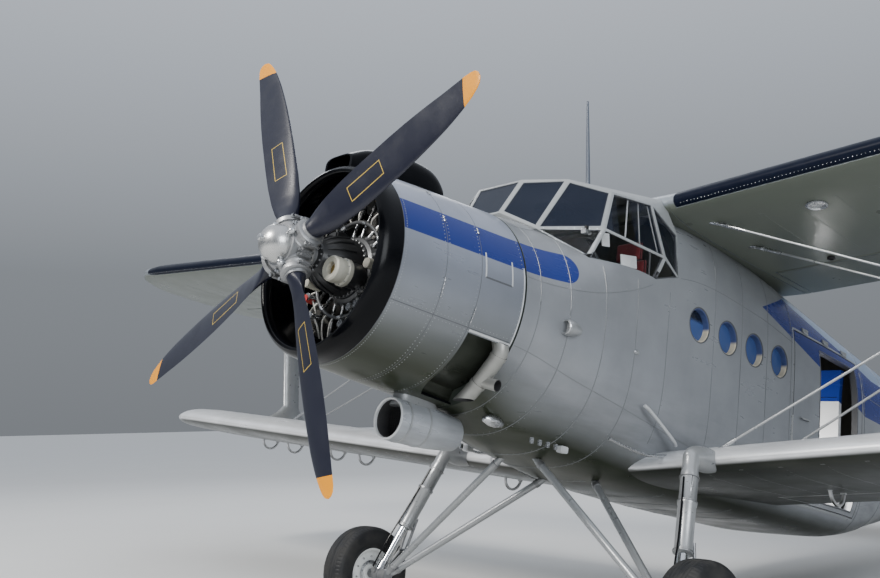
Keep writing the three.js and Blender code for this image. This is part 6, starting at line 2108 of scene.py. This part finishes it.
def cushionForm(low, high, thickAxis, panels, puff):
    # a stuffed pad: puffed between stitched channels, pinched at its piping
    low, high = np.array(low, float), np.array(high, float)
    size = high - low
    first, second = [k for k in range(3) if k != thickAxis]
    n = 30
    points = []
    for face in (1, -1):
        for i in range(n + 1):
            for j in range(n + 1):
                u, v = i / n, j / n
                edge = min(1, min(u, 1 - u) * 7) ** 0.5 * min(1, min(v, 1 - v) * 7) ** 0.5
                channel = abs(math.sin(math.pi * v * panels))
                lift = 0.34 + 0.66 * edge
                if face == 1:
                    sag = 0.10 * math.sin(math.pi * u) * math.sin(math.pi * v)
                    lift = lift * (1 - puff * (1 - channel ** 0.35)) - sag
                p = np.zeros(3)
                rounded = 0.012 * (1 - edge)
                p[first] = low[first] + size[first] * u + rounded * (0.5 - u) * 2
                p[second] = low[second] + size[second] * v + rounded * (0.5 - v) * 2
                p[thickAxis] = (low + high)[thickAxis] / 2 + face * 0.49 * size[thickAxis] * lift
                points.append(p)
    half = (n + 1) ** 2
    corners = [start + i * (n + 1) + j for start in (0, half) for i in range(n) for j in range(n)]
    faces = [(a, a + 1, a + n + 2, a + n + 1) for a in corners]
    rim = [*range(0, half, n + 1), *range(half - n, half), *range(half - n - 2, 0, -n - 1),
           *range(n - 1, 0, -1)]
    faces += [(a, b, b + half, a + half) for a, b in zip(rim, [*rim[1:], rim[0]])]
    form = Form().add(points, faces)
    piping = [points[k] * 0.5 + points[k + half] * 0.5 for k in rim]
    for shift in (0.32, -0.32):
        path = [p + np.eye(3)[thickAxis] * size[thickAxis] * 0.49 * shift for p in piping]
        form.tube([*path, path[0]], 0.0045, 8, 1, False)
    return form


def buildSeat(side, hand):
    x0, x1 = sorted(side * x for x in seatFacts["x"])
    # piece, axis of its thickness, channels, how deep they are, and how much narrower it is at each side
    for label, axis, panels, puff, trim in (("base", 2, 4, 0.14, 0.0), ("back", 1, 5, 0.14, 0.02),
                                            ("headrest", 1, 1, 0.0, 0.07)):
        y0, y1, z0, z1 = seatFacts[label]
        thing = cushionForm((x0 + trim, y0, z0), (x1 - trim, y1, z1), axis, panels, puff).solid()
        soft = thing.modifiers.new("soft", "SUBSURF")
        soft.levels = soft.render_levels = 1
        dress(thing, f"seat_{label}_{hand}", "airframe", [seatCloth, "dark trim and hollow shade"],
              f"seat_{hand}" if label == "base" else (), crease=180)
    pan = Form()
    pan.block((x0 + 0.01, 2.71, -0.115), (x1 - 0.01, 3.05, -0.082), 0, None, 0.008)
    for x in (x0 + 0.05, x1 - 0.05):
        for y in (2.76, 3.00):
            pan.tube([(x, y, -0.328), (x, y, -0.112)], 0.013, 14, 0)
        pan.tube([(x, 2.71, -0.318), (x, 3.06, -0.318)], 0.013, 14, 0)
    for x in (x0 + 0.035, x1 - 0.035):
        rear = [(x, 3.085, -0.10), (x, 3.094, 0.30), (x, 3.094, 0.78), (x * 0.99, 3.086, 0.90)]
        pan.tube(curveThrough(rear, 6), 0.010, 12, 0)
    dress(pan, f"seat_pan_{hand}", "airframe", ["floor plate"], crease=40)


bothHands(buildSeat)

# Ribs of the cabin lining and a rail under its roof
cabin = Form()
for y in np.arange(3.68, 6.9, 0.44):
    if 5.0 < y < 6.6:
        continue
    ring = fuselageRing(y, 0.066, 160)
    ring = ring[ring[:, 2] > -0.86]
    path = ring[np.argsort(np.arctan2(ring[:, 0], ring[:, 2] + 0.3))][::3]
    path = path[path[:, 2] < 1.05]
    for half in (path[path[:, 0] > 0], path[path[:, 0] < 0]):
        if len(half) > 3:
            cabin.tube(half, 0.014, 8, 0)
cabin.tube([(-0.22, 3.4, 1.02), (-0.22, 6.9, 1.02)], 0.016, 10, 1)
dress(cabin, "cabin_ribs", "airframe", ["cabin lining", "hub steel"], crease=50)
print("cabin made")

# Fuselage seams and rivets, and the cabin lining
trim = {
    "rings": (1.62, 1.90, 2.26, 2.62, 3.02, 3.68, 4.12, 4.56, 5.00, 6.58, 7.20, 8.05, 8.95, 9.85, 10.70),
    "lines": (52, 12, -26, 128, 168, 206),      # angles round the section
    "pitch": 0.062,
    "lapWidth": 0.005,
    "lapHeight": 0.0022,
}


def skinFree(point):
    # true where the skin is whole and clear of doors, windows, wings and canopy
    x, y, z = point
    front, rear, sill, head = fuselage["door"]
    if x > 0 and front - 0.02 < y < rear + 0.02 and sill - 0.02 < z < head + 0.02:
        return False
    if 1.64 < y < 3.16 and z > 0.47 + 0.75 * max(0, 2.1 - y):
        return False
    if 2.93 < y < 5.46 and z > 1.08:
        return False
    if 2.97 < y < 5.10 and -1.06 < z < -0.76:
        return False
    if 10.0 < y and (abs(x) < 0.09 and z > 0.3 or abs(z - 0.56) < 0.09):
        return False
    places = fuselage["portWindows" if x > 0 else "starboardWindows"]
    clear = fuselage["windowRadius"] + 0.022
    return all(math.hypot(y - window, z - fuselage["windowHeight"]) > clear for window in places)


def ringWithNormals(station, count=1440):
    ring = fuselageRing(station, 0, count)
    runs = np.roll(ring, -1, axis=0) - np.roll(ring, 1, axis=0)
    return ring, np.stack([runs[:, 2], np.zeros(count), -runs[:, 0]], axis=1)


def layLap(path, normals):
    # a seam along the free stretches of a path
    start = None
    for i in range(len(path) + 1):
        free = i < len(path) and skinFree(path[i])
        if free and start is None:
            start = i
        if not free and start is not None:
            if i - start > 2:
                ribbon(laps, path[start:i], normals[start:i], trim["lapWidth"], trim["lapHeight"])
            start = None


laps, skinRivets = Form(), Form()
for station in trim["rings"]:
    ring, normals = ringWithNormals(station, 240)
    layLap(np.vstack([ring, ring[:1]]), np.vstack([normals, normals[:1]]))
    for shift in (-0.016, 0.016):
        dense, out = ringWithNormals(station + shift)
        steps = np.cumsum(np.linalg.norm(np.diff(dense, axis=0), axis=1))
        for distance in np.arange(0, steps[-1], trim["pitch"]):
            k = int(np.searchsorted(steps, distance))
            if skinFree(dense[k]):
                studs(skinRivets, [dense[k]], [out[k]], 0.0032, 0.0009)
for angle in trim["lines"]:
    k = round(angle * 4) % 1440
    sections = [ringWithNormals(y) for y in np.arange(1.49, 11.36, 0.031)]
    path, normals = (np.array([section[part][k] for section in sections]) for part in (0, 1))
    layLap(path, normals)
    for i in range(0, len(path), 2):
        if skinFree(path[i]):
            studs(skinRivets, [path[i] + (0, 0, 0.015)], [normals[i]], 0.0032, 0.0009)
dress(laps, "fuselage_seams", "airframe", ["lap edge"])
dress(skinRivets, "fuselage_rivets", "airframe", ["strut silver"], crease=60)

# Inner faces of the shell get the cabin's or the cockpit's lining
for finish in ("cabin lining", "cockpit lining"):
    shell.data.materials.append(paints[finish])
for polygon in shell.data.polygons:
    x, y, z = untilt @ polygon.center
    halfWidth, top, bottom, middle, above, below = stationFigures(y)
    power, reach = (above, top - middle) if z > middle else (below, middle - bottom)
    if (abs(x) / (halfWidth - 0.03)) ** power + (abs(z - middle) / (reach - 0.03)) ** power < 1:
        polygon.material_index = 2 if y < 3.3 else 1
print("seams and lining made")

# Door frames, hinges and handles
doorTrim = Form()
head = fuselage["door"][3]


def sideRow(y0, z0, y1, z1, steps=14):
    # points and normals on the port side between two places
    path, normals = [], []
    for t in spread(0, 1, steps):
        y, z = y0 + (y1 - y0) * t, z0 + (z1 - z0) * t
        ring, out = ringWithNormals(y)
        side = ring[:, 0] > 0
        k = np.flatnonzero(side)[np.argmin(np.abs(ring[side, 2] - z))]
        path.append(ring[k])
        normals.append(out[k])
    return path, normals


def frameLoop(opening, beyond, over, width, height, slot):
    # a strip round a door, a little beyond its edges and over its head
    y0, y1, z0, z1 = np.array(opening) + (-beyond, beyond, -beyond, over)
    corners = [(y0, z0), (y1, z0), (y1, z1), (y0, z1)]
    for start, stop in zip(corners, [*corners[1:], corners[0]]):
        path, normals = sideRow(*start, *stop)
        ribbon(doorTrim, path, normals, width, height, slot)


pFront, pRear, pSill, pHead = fuselage["passengerDoor"]
frameLoop(fuselage["door"], 0.018, 0.012, 0.020, 0.0012, 0)
frameLoop(fuselage["passengerDoor"], 0.012, 0.010, 0.012, 0.0020, 1)
for y in (5.30, 5.75, 6.20):
    path, normals = sideRow(y - 0.05, head + 0.022, y + 0.05, head + 0.022, 4)
    doorTrim.tube(np.array(path) + (0.006, 0, 0), 0.009, 12, 0)
    doorTrim.block(path[2] + (-0.010, -0.060, 0.004), path[2] + (0.008, 0.060, 0.040), 0, None, 0.004)
path, normals = sideRow(5.20, -0.10, 5.34, -0.10, 4)
doorTrim.tube(np.array(path) + (0.022, 0, 0), 0.008, 12, 0)
for end in (path[0], path[-1]):
    doorTrim.tube([end - (0.004, 0, 0), end + (0.022, 0, 0)], 0.008, 12, 0)
dress(doorTrim, "door_frames", "airframe", ["strut silver", "seam sealant"], crease=40)

# The open door leaf: its handle and two fine lines
leafTrim = Form()
path, normals = sideRow(pFront + 0.060, -0.10, pFront + 0.200, -0.10, 4)
leafTrim.tube(np.array(path) + (0.030, 0, 0), 0.009, 14, 1)
leafTrim.tube([path[0] - (0.004, 0, 0), path[0] + (0.030, 0, 0)], 0.010, 14, 1)
for y0, z0, y1, z1 in ((pFront + 0.03, pSill + 0.03, pRear - 0.03, pSill + 0.03),
                       (pFront + 0.03, 0.30, pRear - 0.03, 0.30)):
    path, normals = sideRow(y0, z0, y1, z1)
    ribbon(leafTrim, path, normals, 0.006, 0.0006, 1)
dress(leafTrim.place(openLeaf()), "passenger_door_fittings", "passenger_door",
      ["strut silver", "gloss black paint"], crease=40)
print("doors detailed")

# Small fittings: blister scoop, bump, rod, fillets, belly fairings and plates, wiper boxes
fittings = Form()
blister = {"at": (0.842, 1.905, -0.120), "turn": Matrix.Rotation(math.radians(176), 4, "Z")}
fittings.lathe([(0.0, -0.10), (0.030, -0.085), (0.052, -0.03), (0.060, 0.03), (0.052, 0.062), (0.046, 0.064),
                (0.044, 0.03), (0.0, 0.02)], 32, 0, **blister)
fittings.lathe([(0.046, 0.060), (0.052, 0.066), (0.056, 0.058), (0.052, 0.052)], 32, 1, **blister)
fittings.ball((0.884, 2.640, -0.120), (0.016, 0.036, 0.020), 0, 18)
fittings.tube(curveThrough([(0.888, 2.790, -0.500), (0.902, 2.860, -0.535), (0.905, 3.160, -0.690),
                            (0.888, 3.240, -0.730)], 8), 0.013, 14, 3)
fillet = curveThrough([(0.862, 2.420, -0.820), (0.880, 2.590, -0.848), (0.892, 2.850, -0.868),
                       (0.900, 3.060, -0.840), (0.902, 3.240, -0.810)], 10)
for side in (1, -1):
    fittings.tube(flipped(fillet, side), 0.012, 14, 1)
    fittings.lathe([(0.0, -0.11), (0.026, -0.09), (0.044, -0.03), (0.046, 0.03), (0.030, 0.09), (0.0, 0.11)],
                   28, 1, at=(side * 0.300, 1.770, -0.810))
    for y in (1.99, 2.08, 2.17, 2.26):
        fittings.block((side * 0.500 - 0.012, y - 0.014, -0.935), (side * 0.500 + 0.012, y + 0.014, -0.892), 1,
                       None, 0.004)
    fittings.block((side * 0.500 - 0.030, 2.300, -0.945), (side * 0.500 + 0.030, 2.380, -0.895), 3, None, 0.006)
    rail = flipped(mixed(canopy["corners"]["screenBaseOuter"], canopy["corners"]["quarterBase"], 0.70), side)
    rail = rail + (side * 0.026, 0, 0)
    fittings.block(rail + (-0.024, -0.040, -0.052), rail + (0.024, 0.040, -0.014), 1, None, 0.006)
    fittings.lathe([(0.0, 0.030), (0.016, 0.028), (0.018, 0.0), (0.018, -0.014), (0.0, -0.014)], 20, 2, "Z",
                   at=rail - (0, 0, 0.012))
dress(fittings, "skin_fittings", "airframe", [
    "strut silver", "bright steel", "gloss black paint", "pale trim and edge highlight",
], crease=40)

# Posts and runners of the sliding side windows
posts = Form()
paneNames = ("quarterTop", "quarterBase", "railRear", "eaveMiddle")
for side in (1, -1):
    topFront, baseFront, baseRear, topRear = (flipped(canopy["corners"][name], side) for name in paneNames)
    for top, base, width in ((0.43, 0.36, 0.007), (0.68, 0.60, 0.006), (0.90, 0.91, 0.006)):
        ends = [mixed(topFront, topRear, top), mixed(baseFront, baseRear, base)]
        run = []
        for share, end in zip((0.06, 0.94), ends):
            inward = (np.array(canopy["centre"]) - end) * (1, 0.4, 0.4)
            run.append(mixed(*ends, share) + inward / np.linalg.norm(inward) * 0.018)
        posts.tube(run, width, 12, 0)
dress(posts, "side_window_posts", "airframe", ["window frame paint"], crease=40)


# Fittings of the wings: lamps, rib tapes and the rivet rows of the slats
def wingSurface(which, span, f, upper=False, proud=0.0):
    # a point of the wing's surface in wing axes, at share f of the chord
    chord = wings[which]["chord"]
    half = float(thicknessAt(f, wings["ratio"])) * chord + 0.003 * f
    line = float(camberAt(f, wings["camber"])) * chord
    return np.array((span, f * chord, line + half + proud if upper else line - half - proud))


def tapeRows(form, which, spans, f0, f1):
    # narrow fabric tapes over the ribs, above and below
    for span in spans:
        for upper in (True, False):
            path = [wingSurface(which, span, f, upper) for f in spread(f0, f1, 18)]
            ribbon(form, path, [(0, 0, 1 if upper else -1)] * len(path), 0.030, 0.0006)


def buildWingTrim(side, hand):
    for which, start, stop, first, last in (("upper", 1.110, 8.1, 0.17, 0.66),
                                            ("lower", 1.220, 6.2, 0.05, 0.66)):
        tapes = Form()
        tapeRows(tapes, which, np.arange(start, stop, wings["ribPitch"]), first, last)
        dress(tapes.place(wingFrame(which, side)), f"{which}_wing_{hand}_tapes", "airframe",
              [upperSkinShadedBelow if which == "upper" else lowerSkinSunAndShade], crease=60)
    row = Form()
    for x in np.arange(0.92, 8.42, 0.032):
        studs(row, [wingSurface("upper", x, 0.0095)], [(0, -0.3, -1)], 0.0040, 0.0014)
    for x in np.arange(0.92, 8.42, 0.15):
        studs(row, [wingSurface("upper", x, 0.030, True)], [(0, -0.2, 1)], 0.0045, 0.0012)
    dress(row.place(wingFrame("upper", side)), f"slat_{hand}_rivets", f"slat_{hand}", ["bright steel"],
          crease=60)
    lamps = Form()
    tipLamp = wingSurface("upper", 8.72, 0.30, True)
    lamps.lathe([(0.0, 0.034), (0.014, 0.030), (0.021, 0.018), (0.023, 0.0)], 24, 1, "Z", at=tipLamp)
    lamps.lathe([(0.023, 0.004), (0.028, 0.004), (0.034, -0.006)], 24, 0, "Z", at=tipLamp)
    if side > 0:
        lampAt = wingSurface("upper", 1.86, 0.20)
        lamps.lathe([(0.078, 0.012), (0.084, -0.010), (0.070, -0.014), (0.064, -0.004), (0.0, -0.002)], 48, 0,
                    "Z", at=lampAt)
        hookAt = wingSurface("upper", 1.45, 0.655)
        lamps.lathe([(0.030, 0.006), (0.036, -0.020), (0.022, -0.026), (0.016, -0.006), (0.0, -0.006)], 32, 2,
                    "Z", at=hookAt)
    dress(lamps.place(wingFrame("upper", side)), f"upper_wing_{hand}_lamps", "airframe", [
        "bright steel", "red paint" if side > 0 else "green lens", "dark trim and hollow shade",
    ], crease=40)


bothHands(buildWingTrim)
print("fittings made")


# Floor, light and camera
stageFacts = {
    "floor": (0.62, 0.62, 0.605),
    "size": 400,
    # place, aim, size, strength, colour; the last one stands in the cabin and lights the open door
    "lights": [
        ((-2.0, -19.0, 14.0), (0, -4.0, 2.0), 5.0, 4700, (1.0, 0.97, 0.92)),
        ((17.0, -9.0, 8.0), (0, -4.0, 2.0), 9.0, 2200, (0.92, 0.96, 1.0)),
        ((-14.0, 6.0, 14.0), (0, -4.0, 2.0), 10.0, 900, (0.95, 0.97, 1.0)),
        (tuple(tilt @ Vector((0.25, 4.95, -0.40))), tuple(tilt @ Vector((0.50, 6.39, -0.30))), 0.3, 45,
         (1.0, 0.98, 0.95)),
    ],
    # height of the direction, from the horizon at 0 to overhead at 1, and its colour
    "sky": [(0.0, (0.20, 0.215, 0.235)), (1.0, (1.05, 1.12, 1.24)), (0.14, (0.24, 0.26, 0.285)),
            (0.45, (0.62, 0.67, 0.75))],
}
plane = bpy.data.meshes.new("floor")
half = stageFacts["size"] / 2
plane.from_pydata([(-half, -half, 0), (half, -half, 0), (half, half, 0), (-half, half, 0)], [], [(0, 1, 2, 3)])
floor = linked("floor", plane)
ground = Finish("floor")
floor.data.materials.append(ground.surface(
    baseColor=ground.blendColour(ground.noise(0.4, point=ground.position), stageFacts["floor"],
                                 (0.58, 0.58, 0.57)),
    roughness=0.9,
))

for number, (place, aim, size, strength, colour) in enumerate(stageFacts["lights"]):
    lamp = bpy.data.lights.new(f"softbox {number + 1}", "AREA")
    lamp.size = size
    lamp.energy = strength
    lamp.color = colour
    holder = linked(lamp.name, lamp)
    holder.location = place
    holder.rotation_euler = (Vector(aim) - Vector(place)).to_track_quat("-Z", "Y").to_euler()

world = bpy.data.worlds.new("studio")
bpy.context.scene.world = world
world.use_nodes = True
skyNodes, skyLinks = world.node_tree.nodes, world.node_tree.links
place = skyNodes.new("ShaderNodeTexCoord")
height = skyNodes.new("ShaderNodeSeparateXYZ")
ramp = skyNodes.new("ShaderNodeValToRGB")
for number, (rise, tone) in enumerate(stageFacts["sky"]):
    stop = ramp.color_ramp.elements[number] if number < 2 else ramp.color_ramp.elements.new(rise)
    stop.position = rise
    stop.color = (*tone, 1)
skyLinks.new(place.outputs["Generated"], height.inputs[0])
skyLinks.new(height.outputs["Z"], ramp.inputs["Fac"])
skyLinks.new(ramp.outputs["Color"], skyNodes["Background"].inputs["Color"])

view = {"place": (5.4618, -9.8628, 1.7297), "pitch": 97.3385, "roll": 1.0473, "heading": 46.5713, "lens": 41.43}
camera = bpy.data.cameras.new("camera")
camera.lens = view["lens"]
camera.sensor_width = 36
camera.clip_end = 500
cameraMount = linked("camera", camera)
cameraMount.location = view["place"]
cameraMount.rotation_euler = [math.radians(view[key]) for key in ("pitch", "roll", "heading")]
bpy.context.scene.camera = cameraMount

print("scene ready")
